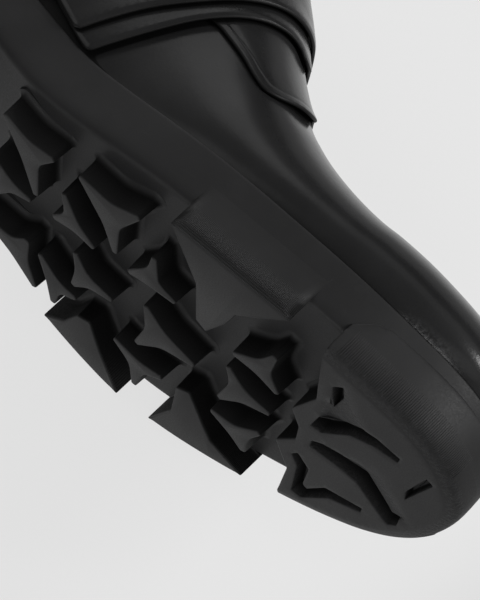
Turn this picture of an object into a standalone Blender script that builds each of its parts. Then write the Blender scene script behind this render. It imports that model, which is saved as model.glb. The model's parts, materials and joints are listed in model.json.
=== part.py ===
"""Left derby shoe with a lugged rubber sole and two instep straps, lying on its outer side.

The shoe is shaped upright in its own frame, in millimetres: x towards the inner (medial) side,
y from the heel to the toe, z up from the ground. An empty then lays it down on its outer side.
"""
import math

import bmesh
import bpy
import numpy as np
from mathutils import Vector

MM = 0.001

# ---- driving dimensions (millimetres) -------------------------------------------------
SOLE_LENGTH = 281.0
TOE_SPRING = 7.0
SPRING_START = 197.0        # the toe rises in front of this line
HEEL_BREAST = 84.0          # front of the heel block
LEDGE = 2.2                 # the sole stands this far outside the upper
FIT_GAP = 0.3               # between pieces that touch
WALL = 2.0                  # leather of the upper
QUARTER_STEP = 1.3          # the quarters lie this much proud of the vamp
INSOLE_THICK = 3.0
TONGUE_THICK = 2.4
TONGUE_HALF = 24.0          # half the tongue's width
THROAT_HALF = 6.0           # half the slot between the quarters
STRAP_WIDTH = 23.0
STRAP_END_LIFT = 1.2        # the straps stop this far above the sole's seat

# How the shoe lies: turned onto its outer side, then tipped until heel, ball and upper touch.
LIE_TURN = math.radians(-90.0)
LIE_ROLL = math.radians(-96.785)
LIE_PITCH = math.radians(-6.207)

# Plan of the sole: distance from the heel, inner edge, outer edge.
HEEL_POINT = (0.0, 0.0)
TOE_POINT = (7.0, SOLE_LENGTH)
PLAN = (
    # y, medial, lateral
    (4.0, 16.5, -16.5),
    (13.0, 28.5, -29.0),
    (28.0, 36.5, -37.0),
    (52.0, 40.5, -41.0),
    (84.0, 41.5, -39.5),
    (112.0, 42.0, -36.5),
    (130.0, 42.5, -41.5),
    (146.0, 44.5, -50.0),
    (160.0, 46.8, -55.5),
    (173.0, 48.4, -58.3),
    (190.0, 49.0, -56.0),
    (207.0, 48.8, -51.0),
    (222.0, 47.8, -45.8),
    (236.0, 45.3, -40.8),
    (248.0, 41.8, -35.8),
    (258.0, 38.2, -30.6),
    (266.0, 33.8, -24.4),
    (273.0, 27.2, -16.0),
    (278.0, 18.8, -6.0),
)

# Side view of the sole: height of the channel floor and of the seat that carries the upper.
SOLE_SIDE = (
    # y, floor, seat
    (0.0, 9.0, 42.0),
    (30.0, 9.0, 41.5),
    (55.0, 9.0, 39.0),
    (HEEL_BREAST, 9.0, 33.8),
    (HEEL_BREAST + 4.0, 17.0, 33.0),
    (100.0, 14.6, 30.8),
    (112.0, 11.4, 28.6),
    (124.0, 9.0, 26.2),
    (134.0, 8.5, 25.2),
    (160.0, 8.5, 24.6),
    (200.0, 8.5, 24.2),
    (SOLE_LENGTH, 8.5, 21.4),
)

# Section of the sole's side wall: how far in from the plan at each height.
SIDE_WALL = (
    # share of the wall's height, inset
    (0.0, 0.9),
    (0.1, 0.3),
    (0.5, 0.0),
    (0.9, 0.0),
    (1.0, 1.0),
)

# The last: its ridge in side view and plan, and how full each section is.
LAST = (
    # y, ridge_x, ridge_z, fullness, bulge, lean
    (0.0, 0.0, 146.0, 5.5, 2.5, 7.0),
    (60.0, 0.0, 146.0, 5.0, 1.5, 7.0),
    (92.0, 1.5, 143.0, 4.0, 1.0, 6.0),
    (108.0, 3.0, 132.0, 3.0, 0.8, 4.0),
    (120.0, 4.0, 121.0, 2.6, 0.6, 2.0),
    (135.0, 5.0, 107.0, 2.4, 0.4, 1.0),
    (150.0, 5.5, 92.0, 2.3, 0.6, 0.0),
    (168.0, 6.0, 74.7, 2.25, 1.0, 0.0),
    (180.0, 6.0, 65.6, 2.2, 1.4, 0.0),
    (190.0, 6.0, 60.0, 2.2, 1.8, 0.0),
    (202.0, 6.0, 55.9, 2.25, 2.2, 0.0),
    (216.0, 6.0, 53.1, 2.35, 2.5, 0.0),
    (228.0, 6.0, 52.8, 2.45, 2.7, 0.0),
    (242.0, 6.0, 50.2, 2.45, 2.8, 0.0),
)
FAN_TOE = 222.0             # ribs in front of this line fan round the toe
FAN_HEEL = 46.0             # and behind this one round the heel
FAN_SHARE = 0.32            # part of the way that the ridge still moves in a fan
BULGE_HEIGHT = 11.0         # the wall swells most at this height above the seat
LEAN_HEIGHT = 60.0          # the lean is given at this height above the seat
RIBS = 44
RIB_STEPS = 10              # from the ridge down to either edge

# Top line of the upper in side view, from the throat to the back seam.
TOPLINE = (
    # y, z
    (150.0, 122.0),
    (128.0, 119.0),
    (116.0, 112.0),
    (104.0, 103.5),
    (90.0, 97.0),
    (72.0, 93.5),
    (52.0, 95.0),
    (32.0, 101.0),
    (14.0, 107.0),
    (-10.0, 110.0),
)
# Front edge of the quarters in side view: up from the seat, along the facing and over the instep.
QUARTER_EDGE = (
    # y, z
    (90.0, 10.0),
    (104.0, 34.0),
    (118.0, 50.0),
    (132.0, 58.5),
    (144.5, 60.0),
    (151.0, 58.6),
    (158.0, 56.4),
    (164.5, 53.7),
    (169.0, 52.6),
    (173.0, 54.3),
    (177.1, 58.8),
    (178.8, 60.6),
    (179.9, 62.8),
    (180.6, 65.5),
    (182.0, 90.0),
)
THROAT_POINT = 174.0        # front end of the slot between the quarters

# Three-armed lugs: centre, and the tip of each arm counted from the centre.
STAR_LUGS = (
    # name, x, y, (tip 1), (tip 2), (tip 3), valley
    ("A1", 14.5, 217.0, (-1.7, -9.0), (11.5, 4.0), (-6.0, 6.8), 3.0),
    ("A2", -4.8, 211.8, (8.3, -4.3), (1.0, 11.4), (-10.3, -4.6), 3.0),
    ("A3", -25.4, 214.6, (0.4, -9.6), (8.0, 7.6), (-8.2, 3.6), 3.0),
    ("B1", 15.2, 178.6, (10.2, -0.6), (-2.6, 9.0), (-5.8, -8.2), 2.6),
    ("B2", -10.8, 183.0, (11.0, -5.0), (0.6, 14.2), (-12.2, -6.0), 3.4),
    ("B3", -34.4, 178.4, (3.8, -9.0), (3.8, 8.8), (-11.4, 0.2), 3.0),
    ("L3", 28.6, 161.2, (7.0, -11.4), (10.0, 9.4), (-16.6, 4.0), 4.4),
    ("C1", 9.6, 149.6, (10.6, -4.2), (-3.8, 8.4), (-4.8, -6.6), 2.6),
    ("C2", -13.0, 155.8, (8.2, -3.6), (1.4, 11.0), (-7.4, -2.6), 2.8),
    ("L4", 26.6, 131.8, (8.0, -9.4), (5.6, 8.8), (-18.6, 4.4), 4.2),
    ("C4", 2.0, 126.0, (7.4, -6.0), (1.0, 8.6), (-8.8, -3.4), 2.6),
    ("R4", -27.6, 132.4, (9.0, 2.7), (-11.6, 7.4), (3.6, -14.4), 4.4),
    ("C3", -28.6, 146.4, (8.8, -6.4), (1.4, 8.0), (-10.4, 0.4), 2.6),
    ("H1", 0.0, 40.0, (11.0, 6.0), (-11.0, 6.0), (0.0, -13.0), 4.0),
    ("H2", 0.0, 70.0, (11.0, -6.0), (-11.0, -6.0), (0.0, 11.0), 4.0),
)
ARM_TIP = 1.8               # width of an arm's blunt end

# Lugs that follow the edge of the sole: they run along it from y0 to y1 and reach inwards to a nose.
EDGE_LUGS = (
    # name, side, y0, y1, proud, top, (inner outline from the y0 end to the y1 end)
    ("L2", 1, 181.0, 222.0, 2.4, 16.5,
     ((30.7, 192.2), (13.6, 194.4), (11.6, 198.3), (22.8, 203.8), (31.0, 206.3), (37.3, 212.4))),
    ("R2", -1, 185.5, 219.0, 2.2, 16.5,
     ((-43.0, 192.4), (-28.6, 192.6), (-26.0, 197.2), (-36.6, 203.4), (-42.0, 207.0))),
    ("R3", -1, 144.5, 173.5, 2.2, 16.5,
     ((-44.0, 151.4), (-35.0, 156.0), (-33.4, 160.4), (-44.5, 165.4))),
    ("HM2", 1, 54.0, 82.0, 1.6, 26.0, ((30.0, 56.0), (16.0, 64.0), (16.0, 68.0), (28.0, 80.0))),
    ("HM1", 1, 22.0, 47.0, 1.6, 26.0, ((28.0, 27.0), (15.0, 32.0), (15.0, 36.0), (29.0, 43.0))),
    ("HL2", -1, 54.0, 82.0, 1.6, 26.0, ((-30.0, 56.0), (-16.0, 64.0), (-16.0, 68.0), (-28.0, 80.0))),
    ("HL1", -1, 22.0, 47.0, 1.6, 26.0, ((-28.0, 27.0), (-15.0, 32.0), (-15.0, 36.0), (-29.0, 43.0))),
)
# Section of an edge lug's side: height as a share of its top, and how much of "proud" it keeps.
EDGE_LUG_SIDE = (
    (0.0, 0.0),
    (0.08, 0.75),
    (0.2, 1.0),
    (1.0, 0.0),
    (1.08, -0.7),
)

# The toe lug: section of its side, its rear edge in plan, and the cuts in its tread.
TOE_LUG_FROM = 0.72
TOE_LUG_SIDE = (
    # height, inset
    (0.0, 3.4),
    (0.7, 0.4),
    (2.4, -0.9),
    (5.0, -1.2),
    (16.0, -0.6),
    (18.4, 0.6),
)
TOE_LUG_REAR = (
    # x, y
    (46.6, 233.9),
    (27.8, 234.6),
    (20.5, 235.2),
    (7.6, 229.0),
    (0.8, 232.3),
    (-6.4, 232.4),
    (-14.0, 226.6),
    (-24.6, 232.0),
    (-40.7, 231.0),
)
TOE_CUTS = (
    # name, depth, ((x, y, width), ...)
    ("cut_near", 6.0, ((6.0, 236.4, 3.0), (12.5, 241.5, 4.6), (18.0, 249.0, 5.0), (19.2, 262.3, 2.2))),
    ("cut_far", 6.0, ((-2.6, 237.3, 3.2), (-1.6, 247.0, 5.6), (-5.0, 256.0, 6.6), (-13.4, 268.6, 6.0))),
    ("cut_inner", 5.0, ((22.0, 240.2, 1.0), (28.0, 240.9, 2.6), (33.6, 240.6, 3.2))),
    ("cut_front", 5.0, ((4.6, 266.9, 4.4), (11.0, 269.6, 4.0), (18.5, 272.6, 2.0))),
    ("cut_outer", 6.0, ((-14.0, 232.6, 3.2), (-18.5, 236.8, 3.6), (-33.5, 236.4, 3.6))),
    ("cut_fork", 6.0, ((-33.0, 236.6, 3.0), (-22.4, 245.4, 4.4), (-19.2, 256.2, 1.8))),
)

# The instep straps: how far their inner and outer faces stand off the vamp, and the front edge in
# side view, from the sole up to the ridge of the instep.
STRAPS = (
    # name, inner face, outer face, ((y, z), ...)
    ("strap_under", 1.6, 3.0,
     ((121.5, 12.0), (127.4, 26.5), (131.7, 36.0), (136.6, 45.5), (142.0, 55.0), (148.1, 63.6),
      (151.8, 67.9), (155.6, 71.8), (160.2, 76.0), (163.4, 77.9), (167.0, 78.0), (178.0, 77.4))),
    ("strap_top", 3.3, 4.8,
     ((114.0, 9.0), (120.7, 27.3), (124.5, 36.5), (130.4, 48.4), (138.8, 60.2), (146.5, 70.8),
      (151.6, 77.0), (155.6, 81.8), (159.0, 86.0), (162.0, 88.6), (178.0, 99.0))),
)
# The tongue in plan, either side of the ridge, and how far it stands above the top line.
TONGUE_PLAN = (
    # half width, y
    (14.0, 190.0),
    (19.0, 184.0),
    (TONGUE_HALF, 150.0),
    (TONGUE_HALF, 108.0),
)
TONGUE_RISE = 12.0


# ---- curves and tables ----------------------------------------------------------------
def spline(points, steps, closed=False):
    """Centripetal Catmull-Rom curve through the points."""
    pts = [np.array(p, float) for p in points]
    if closed:
        pts = [pts[-1]] + pts + pts[:2]
    else:
        pts = [2 * pts[0] - pts[1]] + pts + [2 * pts[-1] - pts[-2]]
    curve = []
    for a, b, c, d in zip(pts, pts[1:], pts[2:], pts[3:]):
        t1 = math.sqrt(np.linalg.norm(b - a))
        t2 = t1 + math.sqrt(np.linalg.norm(c - b))
        t3 = t2 + math.sqrt(np.linalg.norm(d - c))
        for k in range(steps):
            t = t1 + (t2 - t1) * k / steps
            ab = a + (b - a) * t / t1
            bc = b + (c - b) * (t - t1) / (t2 - t1)
            cd = c + (d - c) * (t - t2) / (t3 - t2)
            abc = ab + (bc - ab) * t / t2
            bcd = bc + (cd - bc) * (t - t1) / (t3 - t1)
            curve.append(abc + (bcd - abc) * (t - t1) / (t2 - t1))
    if not closed:
        curve.append(pts[-2])
    return np.array(curve)


LAST_CURVE = spline(LAST, 8)
SIDE_ROWS = np.array(SOLE_SIDE)


def last_row(y):
    """Ridge x, ridge z, fullness, bulge and lean of the last at y."""
    return [np.interp(y, LAST_CURVE[:, 0], LAST_CURVE[:, k]) for k in range(1, 6)]


def spring(y):
    return TOE_SPRING * max(0.0, (y - SPRING_START) / (SOLE_LENGTH - SPRING_START)) ** 2


def floor_height(y):
    return float(np.interp(y, SIDE_ROWS[:, 0], SIDE_ROWS[:, 1])) + spring(y)


def seat_height(y):
    return float(np.interp(y, SIDE_ROWS[:, 0], SIDE_ROWS[:, 2])) + spring(y)


class Plan:
    """The sole's plan, moved inwards by inset (outwards if negative)."""

    steps = 8
    rows = len(PLAN)
    points = [HEEL_POINT] + [(m, y) for y, m, _ in PLAN] + [TOE_POINT] + [(s, y) for y, _, s in reversed(PLAN)]
    loop = spline(points, steps, closed=True)

    def __init__(self, inset=0.0):
        ahead = np.roll(self.loop, -1, axis=0) - np.roll(self.loop, 1, axis=0)
        ahead /= np.linalg.norm(ahead, axis=1)[:, None]
        inward = np.stack([-ahead[:, 1], ahead[:, 0]], axis=1)
        moved = self.loop + inset * inward
        toe = (self.rows + 1) * self.steps
        self.inner = moved[:toe + 1]
        self.outer = np.concatenate([moved[toe:], moved[:1]])[::-1]
        self.heel = moved[0][1]
        self.toe = moved[toe][1]

    def edge(self, side, y):
        """x of the inner (side 1) or outer (side -1) edge at y."""
        line = self.inner if side > 0 else self.outer
        return float(np.interp(y, line[:, 1], line[:, 0]))

    def at(self, side, share):
        """Point of the edge at a share of the length, 0 at the heel and 1 at the toe."""
        y = self.heel + (self.toe - self.heel) * share
        return self.edge(side, y), y


# ---- meshes ---------------------------------------------------------------------------
def finish_mesh(bm, name, colour, roughness, smooth=None, cutter=False):
    """Weld, face outwards, scale to metres and wrap the mesh in an object with its material."""
    bmesh.ops.remove_doubles(bm, verts=bm.verts, dist=0.001)
    bmesh.ops.dissolve_degenerate(bm, dist=0.0005, edges=bm.edges)
    bmesh.ops.triangulate(bm, faces=bm.faces)
    bmesh.ops.recalc_face_normals(bm, faces=bm.faces)
    bmesh.ops.scale(bm, vec=(MM, MM, MM), verts=bm.verts)
    mesh = bpy.data.meshes.new(name)
    bm.to_mesh(mesh)
    bm.free()
    if smooth:
        mesh.shade_smooth()
        mesh.set_sharp_from_angle(angle=math.radians(smooth))
    piece = bpy.data.objects.new(name, mesh)
    bpy.context.collection.objects.link(piece)
    if cutter:
        piece.hide_render = True
        piece.display_type = "WIRE"
    else:
        mesh.materials.append(finish(name, colour, roughness))
    piece.parent = LYING
    return piece


def finish(name, colour, roughness):
    material = bpy.data.materials.new(name)
    material.use_nodes = True
    shader = material.node_tree.nodes["Principled BSDF"]
    shader.inputs["Base Color"].default_value = (*colour, 1.0)
    shader.inputs["Roughness"].default_value = roughness
    shader.inputs["Metallic"].default_value = 0.0
    return material


def loft(bm, rings, first_cap=False, last_cap=False):
    """Skin closed rings of equally many points. An end without a cap narrows to a line."""
    grid = [[bm.verts.new(p) for p in ring] for ring in rings]
    for ring, after in zip(grid, grid[1:]):
        count = len(ring)
        for k in range(count):
            n = (k + 1) % count
            bm.faces.new((ring[k], ring[n], after[n], after[k]))
    if first_cap:
        bm.faces.new(list(reversed(grid[0])))
    if last_cap:
        bm.faces.new(grid[-1])


def prism(bm, levels):
    """Closed body through outlines stacked one above the other."""
    loft(bm, levels, first_cap=True, last_cap=True)


def combine(target, tool, operation):
    change = target.modifiers.new(tool.name, "BOOLEAN")
    change.operation = operation
    change.solver = "EXACT"
    change.object = tool


def shares(count):
    """Places along the shoe from 0 to 1, close together at heel and toe."""
    return [(1.0 - math.cos(math.pi * k / count)) / 2.0 for k in range(count + 1)]


# ---- outsole --------------------------------------------------------------------------
def sole_body():
    """Side wall, waist and heel block, without lugs."""
    plans = [(rise, Plan(inset)) for rise, inset in SIDE_WALL]
    marks = [row[0] / SOLE_LENGTH for row in SOLE_SIDE[3:9]]
    rings = []
    for share in sorted(shares(52) + marks):
        ring = []
        for side, levels in ((1, plans), (-1, plans[::-1])):
            for rise, plan in levels:
                x, y = plan.at(side, share)
                low, high = floor_height(y), seat_height(y)
                ring.append((x, y, low + (high - low) * rise))
        rings.append(ring)
    bm = bmesh.new()
    loft(bm, rings)
    return finish_mesh(bm, "outsole", (0.012, 0.012, 0.012), 0.62, smooth=32)


def star_outline(x, y, tips, valley):
    """Outline of a lug with three blunt arms and hollow sides."""
    points = []
    for k, tip in enumerate(tips):
        after = tips[(k + 1) % 3]
        arm = Vector(tip).normalized()
        turn = Vector((-arm.y, arm.x)) * ARM_TIP / 2.0
        start = Vector(tip) + turn
        arm_after = Vector(after).normalized()
        end = Vector(after) - Vector((-arm_after.y, arm_after.x)) * ARM_TIP / 2.0
        hollow = (arm + arm_after).normalized() * valley
        points.append(Vector(tip) - turn)
        for t in (0.0, 0.3, 0.5, 0.7):
            pull = 1.0 - abs(2.0 * t - 1.0)
            points.append(start.lerp(end, t).lerp(hollow, pull ** 0.8))
    return [Vector((x, y)) + p for p in points]


def add_star(bm, x, y, tips, valley):
    ordered = sorted(tips, key=lambda tip: math.atan2(tip[1], tip[0]))
    outline = star_outline(x, y, ordered, valley)
    top = floor_height(y) + 3.0
    centre = Vector((x, y))
    levels = []
    for height, swell in ((0.0, 1.0), (top, 1.08)):
        level = [centre + (p - centre) * swell for p in outline]
        levels.append([(p.x, p.y, height + spring(p.y)) for p in level])
    prism(bm, levels)


def add_edge_lug(bm, side, y0, y1, proud, top, inner):
    levels = []
    for rise, keep in EDGE_LUG_SIDE:
        plan = Plan(-proud * keep)
        outer = [(plan.edge(side, y0 + (y1 - y0) * k / 6.0), y0 + (y1 - y0) * k / 6.0) for k in range(7)]
        outline = outer + list(reversed(inner))
        if side < 0:
            outline = outline[::-1]
        levels.append([(x, y, top * rise + spring(y)) for x, y in outline])
    prism(bm, levels)


def cutter_prism(name, outline, low, high, along="z"):
    """Closed cutter: a plan outline standing along z, or a side view (y, z) lying along x."""
    bm = bmesh.new()
    if along == "z":
        levels = [[(x, y, height) for x, y in outline] for height in (low, high)]
    else:
        levels = [[(across, y, z) for y, z in outline] for across in (low, high)]
    prism(bm, levels)
    return finish_mesh(bm, name, (0.5, 0.5, 0.5), 0.5, cutter=True)


def stroke(points):
    """Outline of a groove from its middle line: x, y and width at each point."""
    left, right = [], []
    for k, (x, y, width) in enumerate(points):
        x0, y0, _ = points[max(k - 1, 0)]
        x1, y1, _ = points[min(k + 1, len(points) - 1)]
        length = math.hypot(x1 - x0, y1 - y0)
        nx, ny = -(y1 - y0) / length * width / 2.0, (x1 - x0) / length * width / 2.0
        left.append((x + nx, y + ny))
        right.append((x - nx, y - ny))
    return left + right[::-1]


def toe_lug():
    """The big lug round the toe, with its bevelled margin, stepped rear edge and cuts."""
    rings = []
    plans = [(height, Plan(inset)) for height, inset in TOE_LUG_SIDE]
    for k in range(15):
        share = TOE_LUG_FROM + (1.0 - TOE_LUG_FROM) * math.sin(math.pi / 2.0 * k / 14.0)
        ring = []
        for side, levels in ((1, plans), (-1, plans[::-1])):
            for height, plan in levels:
                x, y = plan.at(side, share)
                ring.append((x, y, height + spring(y)))
        rings.append(ring)
    bm = bmesh.new()
    loft(bm, rings, first_cap=True)
    lug = finish_mesh(bm, "toe_lug", (0.5, 0.5, 0.5), 0.5, cutter=True)
    rear = [(90.0, TOE_LUG_REAR[0][1])] + list(TOE_LUG_REAR) + [(-90.0, TOE_LUG_REAR[-1][1])]
    outline = rear + [(-90.0, 180.0), (90.0, 180.0)]
    combine(lug, cutter_prism("toe_rear_cut", outline, -10.0, 60.0), "DIFFERENCE")
    for name, depth, points in TOE_CUTS:
        deep = depth + spring(points[0][1])
        combine(lug, cutter_prism(name, stroke(points), -10.0, deep), "DIFFERENCE")
    return lug


def outsole():
    sole = sole_body()
    bm = bmesh.new()
    for _, x, y, *tips, valley in STAR_LUGS:
        add_star(bm, x, y, tips, valley)
    for _, side, y0, y1, proud, top, inner in EDGE_LUGS:
        add_edge_lug(bm, side, y0, y1, proud, top, inner)
    lugs = finish_mesh(bm, "lugs", (0.5, 0.5, 0.5), 0.5, cutter=True)
    combine(sole, lugs, "UNION")
    combine(sole, toe_lug(), "UNION")
    return sole


# ---- upper ----------------------------------------------------------------------------
UPPER_PLAN = Plan(LEDGE)


def last_point(tau, s):
    """Point of the upper's outside: tau runs 0 to 1 from heel to toe, s from 1 (inner edge)
    over the ridge at 0 to -1 (outer edge)."""
    if tau > 1.0:
        tau, s = 2.0 - tau, -s
    if tau < 0.0:
        tau, s = -tau, -s
    share = (1.0 - math.cos(math.pi * tau)) / 2.0
    foot_x, foot_y = UPPER_PLAN.at(1 if s >= 0 else -1, share)
    fan_y = min(max(foot_y, FAN_HEEL), FAN_TOE)
    ridge_y = fan_y + (foot_y - fan_y) * FAN_SHARE
    ridge_x, ridge_z, full, bulge, lean = last_row(ridge_y)
    ridge_z += spring(ridge_y)
    foot_z = seat_height(foot_y) + FIT_GAP
    angle = (1.0 - abs(s)) ** (full / 2.0) * math.pi / 2.0
    out = math.cos(angle) ** (2.0 / full)
    up = math.sin(angle) ** (2.0 / full)
    across = Vector((foot_x - ridge_x, foot_y - ridge_y, 0.0))
    reach = across.length
    height = up * (ridge_z - foot_z)
    swell = bulge * height / BULGE_HEIGHT * math.exp(1.0 - height / BULGE_HEIGHT)
    tilt = lean * (height / LEAN_HEIGHT) ** 1.5 * out
    across *= (reach * out + swell * out - tilt) / reach
    return Vector((ridge_x, ridge_y, foot_z + height)) + across


def last_normal(tau, s, step=0.004):
    """Outward normal of the upper's outside."""
    if s >= 0:
        across = last_point(tau, min(s + step, 1.0)) - last_point(tau, max(s - step, 0.0))
    else:
        across = last_point(tau, min(s + step, 0.0)) - last_point(tau, max(s - step, -1.0))
    along = last_point(tau + step, s) - last_point(tau - step, s)
    return across.cross(along).normalized()


def shell_point(tau, s, offset):
    """Point at a distance outside the upper's outside (inside if negative)."""
    if abs(s) < 1e-9:
        normal = (last_normal(tau, 0.0) + last_normal(tau, -1e-9)).normalized()
        normal = (normal + last_normal(tau, 0.01) + last_normal(tau, -0.01)).normalized()
    else:
        normal = last_normal(tau, s)
    if abs(s) > 0.999:
        normal.z = 0.0
        normal.normalize()
    return last_point(tau, s) + normal * offset


def last_form(name, offset, drop, cutter=True, **look):
    """Closed form of the last at an offset, its sides carried down by drop below the seat."""
    rings = []
    for k in range(RIBS + 1):
        tau = k / RIBS
        sides = [1.0 - j / RIB_STEPS for j in range(2 * RIB_STEPS + 1)]
        ring = [shell_point(tau, s, offset) for s in sides]
        if k in (0, RIBS):
            for j in range(RIB_STEPS):
                middle = (ring[j] + ring[-1 - j]) / 2.0
                ring[j] = middle
                ring[-1 - j] = middle.copy()
        low = Vector((0.0, 0.0, drop))
        rings.append([ring[0] - low] + ring + [ring[-1] - low])
    bm = bmesh.new()
    loft(bm, rings)
    return finish_mesh(bm, name, look.get("colour", (0.5, 0.5, 0.5)), look.get("roughness", 0.5),
                       smooth=look.get("smooth"), cutter=cutter)


def seat_block(name, lift):
    """Everything under the seat of the sole, raised by lift, as a cutter."""
    rings = []
    for y in (-30.0, 0.0, 15.0, *[row[0] for row in SOLE_SIDE[1:-1]], 175.0, SPRING_START,
              *[SPRING_START + 8.0 * k for k in range(1, 14)]):
        top = seat_height(y) + lift
        rings.append([(95.0, y, -40.0), (95.0, y, top), (-95.0, y, top), (-95.0, y, -40.0)])
    bm = bmesh.new()
    prism(bm, rings)
    return finish_mesh(bm, name, (0.5, 0.5, 0.5), 0.5, cutter=True)


def collar_cut(name, rise=0.0):
    """Everything above the top line, in side view."""
    curve = [(y, z + rise) for y, z in spline(TOPLINE, 4)]
    return cutter_prism(name, curve + [(-60.0, 260.0), (200.0, 260.0)], -90.0, 90.0, along="x")


def upper():
    shell = last_form("upper", 0.0, 3.0, cutter=False, colour=(0.010, 0.010, 0.011), roughness=0.3,
                      smooth=35)
    quarter = last_form("quarter_form", QUARTER_STEP, 4.0)
    edge = [tuple(p) for p in spline(QUARTER_EDGE, 4)]
    behind = edge + [(200.0, 260.0), (-60.0, 260.0), (-60.0, -40.0), (edge[0][0], -40.0)]
    combine(quarter, cutter_prism("quarter_side", behind, -90.0, 90.0, along="x"), "INTERSECT")
    combine(shell, quarter, "UNION")
    combine(shell, last_form("foot_space", -WALL, 9.0), "DIFFERENCE")
    combine(shell, seat_block("upper_seat", FIT_GAP), "DIFFERENCE")
    combine(shell, collar_cut("upper_collar"), "DIFFERENCE")
    ridge = last_row(150.0)[0]
    slot = [(ridge - THROAT_HALF, THROAT_POINT), (ridge + THROAT_HALF, THROAT_POINT),
            (ridge + THROAT_HALF + 3.0, 80.0), (ridge - THROAT_HALF - 3.0, 80.0)]
    combine(shell, cutter_prism("throat_slot", slot, 55.0, 200.0), "DIFFERENCE")
    return shell


def strap(name, inside, outside, front):
    """Leather strap over the instep, both ends tucked down to the sole."""
    band = last_form(name, outside, 6.0, cutter=False, colour=(0.012, 0.012, 0.013), roughness=0.3, smooth=35)
    combine(band, last_form(name + "_inside", inside, 9.0), "DIFFERENCE")
    line = spline(front, 4)
    low, high = line[0], line[-1]
    across = np.array([-(high[1] - low[1]), high[0] - low[0]])
    rear = line + across / np.linalg.norm(across) * STRAP_WIDTH
    combine(band, cutter_prism(name + "_side", [*line, *rear[::-1]], -90.0, 90.0, along="x"), "INTERSECT")
    combine(band, seat_block(name + "_seat", STRAP_END_LIFT), "DIFFERENCE")


# ---- insole and tongue ----------------------------------------------------------------
def insole():
    plan = Plan(LEDGE + WALL + 1.2)
    rings = []
    for share in shares(30):
        ring = []
        for side, lifts in ((1, (0.0, INSOLE_THICK)), (-1, (INSOLE_THICK, 0.0))):
            x, y = plan.at(side, share)
            ring += [(x, y, seat_height(y) + FIT_GAP + lift) for lift in lifts]
        rings.append(ring)
    bm = bmesh.new()
    loft(bm, rings)
    return finish_mesh(bm, "insole", (0.06, 0.055, 0.05), 0.8, smooth=32)


def tongue():
    outside = -WALL - FIT_GAP
    body = last_form("tongue", outside, 0.0, cutter=False, colour=(0.012, 0.012, 0.012), roughness=0.35,
                     smooth=35)
    combine(body, last_form("tongue_inside", outside - TONGUE_THICK, 4.0), "DIFFERENCE")
    ridge = last_row(150.0)[0]
    strip = [(ridge + x, y) for x, y in TONGUE_PLAN] + [(ridge - x, y) for x, y in reversed(TONGUE_PLAN)]
    combine(body, cutter_prism("tongue_plan", strip, 66.0, 260.0), "INTERSECT")
    combine(body, collar_cut("tongue_top", TONGUE_RISE), "DIFFERENCE")
    return body


def settle():
    """Turn the finished pieces into plain meshes, lay the shoe down and centre it on the ground."""
    graph = bpy.context.evaluated_depsgraph_get()
    pieces = [piece for piece in bpy.data.objects if piece.type == "MESH" and not piece.hide_render]
    solids = [bpy.data.meshes.new_from_object(piece.evaluated_get(graph)) for piece in pieces]
    for piece, solid in zip(pieces, solids):
        piece.modifiers.clear()
        piece.data = solid
    LYING.rotation_mode = "ZXY"
    LYING.rotation_euler = (LIE_ROLL, LIE_PITCH, LIE_TURN)
    bpy.context.view_layer.update()
    points = np.array([piece.matrix_world @ v.co for piece in pieces for v in piece.data.vertices])
    low, high = points.min(axis=0), points.max(axis=0)
    LYING.location = (-(low[0] + high[0]) / 2.0, -(low[1] + high[1]) / 2.0, -low[2])
    bpy.context.view_layer.update()


for old in list(bpy.data.objects):
    bpy.data.objects.remove(old, do_unlink=True)

LYING = bpy.data.objects.new("lying", None)
bpy.context.collection.objects.link(LYING)

outsole()
insole()
upper()
tongue()
for row in STRAPS:
    strap(*row)
settle()
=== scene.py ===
import json
import math

import bmesh
import bpy
import numpy as np
from mathutils import Matrix, Vector
from mathutils.geometry import delaunay_2d_cdt


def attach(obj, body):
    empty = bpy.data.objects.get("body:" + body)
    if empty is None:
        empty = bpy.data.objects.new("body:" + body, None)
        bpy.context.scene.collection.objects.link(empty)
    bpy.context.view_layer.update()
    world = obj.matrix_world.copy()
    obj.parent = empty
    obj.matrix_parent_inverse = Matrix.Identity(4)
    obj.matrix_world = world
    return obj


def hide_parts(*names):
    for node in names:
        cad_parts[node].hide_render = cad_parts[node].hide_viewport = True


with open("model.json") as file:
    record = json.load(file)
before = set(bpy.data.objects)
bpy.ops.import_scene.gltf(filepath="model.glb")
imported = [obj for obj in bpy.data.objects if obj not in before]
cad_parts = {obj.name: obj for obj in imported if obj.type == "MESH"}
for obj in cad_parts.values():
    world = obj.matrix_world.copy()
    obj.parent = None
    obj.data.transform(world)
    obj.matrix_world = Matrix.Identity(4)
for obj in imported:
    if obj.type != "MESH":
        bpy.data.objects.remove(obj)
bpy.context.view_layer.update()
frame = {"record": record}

# Everything is shaped upright in millimetres: x to the inner side, y from heel to toe, z up from the tread.
# layDown then turns the shoe onto its outer side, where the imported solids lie.
shoe = {
    "soleLength": 281.0,
    "toeSpring": 7.0,
    "springStart": 197.0,
    "ledge": 2.2,            # sole outside the upper
    "fitGap": 0.3,
    "lieTurn": -90.0,
    "lieRoll": -96.785,
    "liePitch": -6.207,
    "treadBall": (-10.8, 183.0, 0.0),   # the lug face that carries the mount of that name
}


def lyingMatrix():
    turn = Matrix.Rotation(math.radians(shoe["lieTurn"]), 4, "Z")
    roll = Matrix.Rotation(math.radians(shoe["lieRoll"]), 4, "X")
    pitch = Matrix.Rotation(math.radians(shoe["liePitch"]), 4, "Y")
    turned = pitch @ roll @ turn @ Matrix.Scale(0.001, 4)
    mount = [m for m in frame["record"]["mounts"] if m["name"] == "tread_ball"][0]
    return Matrix.Translation(Vector(mount["pos_m"]) - turned @ Vector(shoe["treadBall"])) @ turned


layDown = lyingMatrix()


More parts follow.
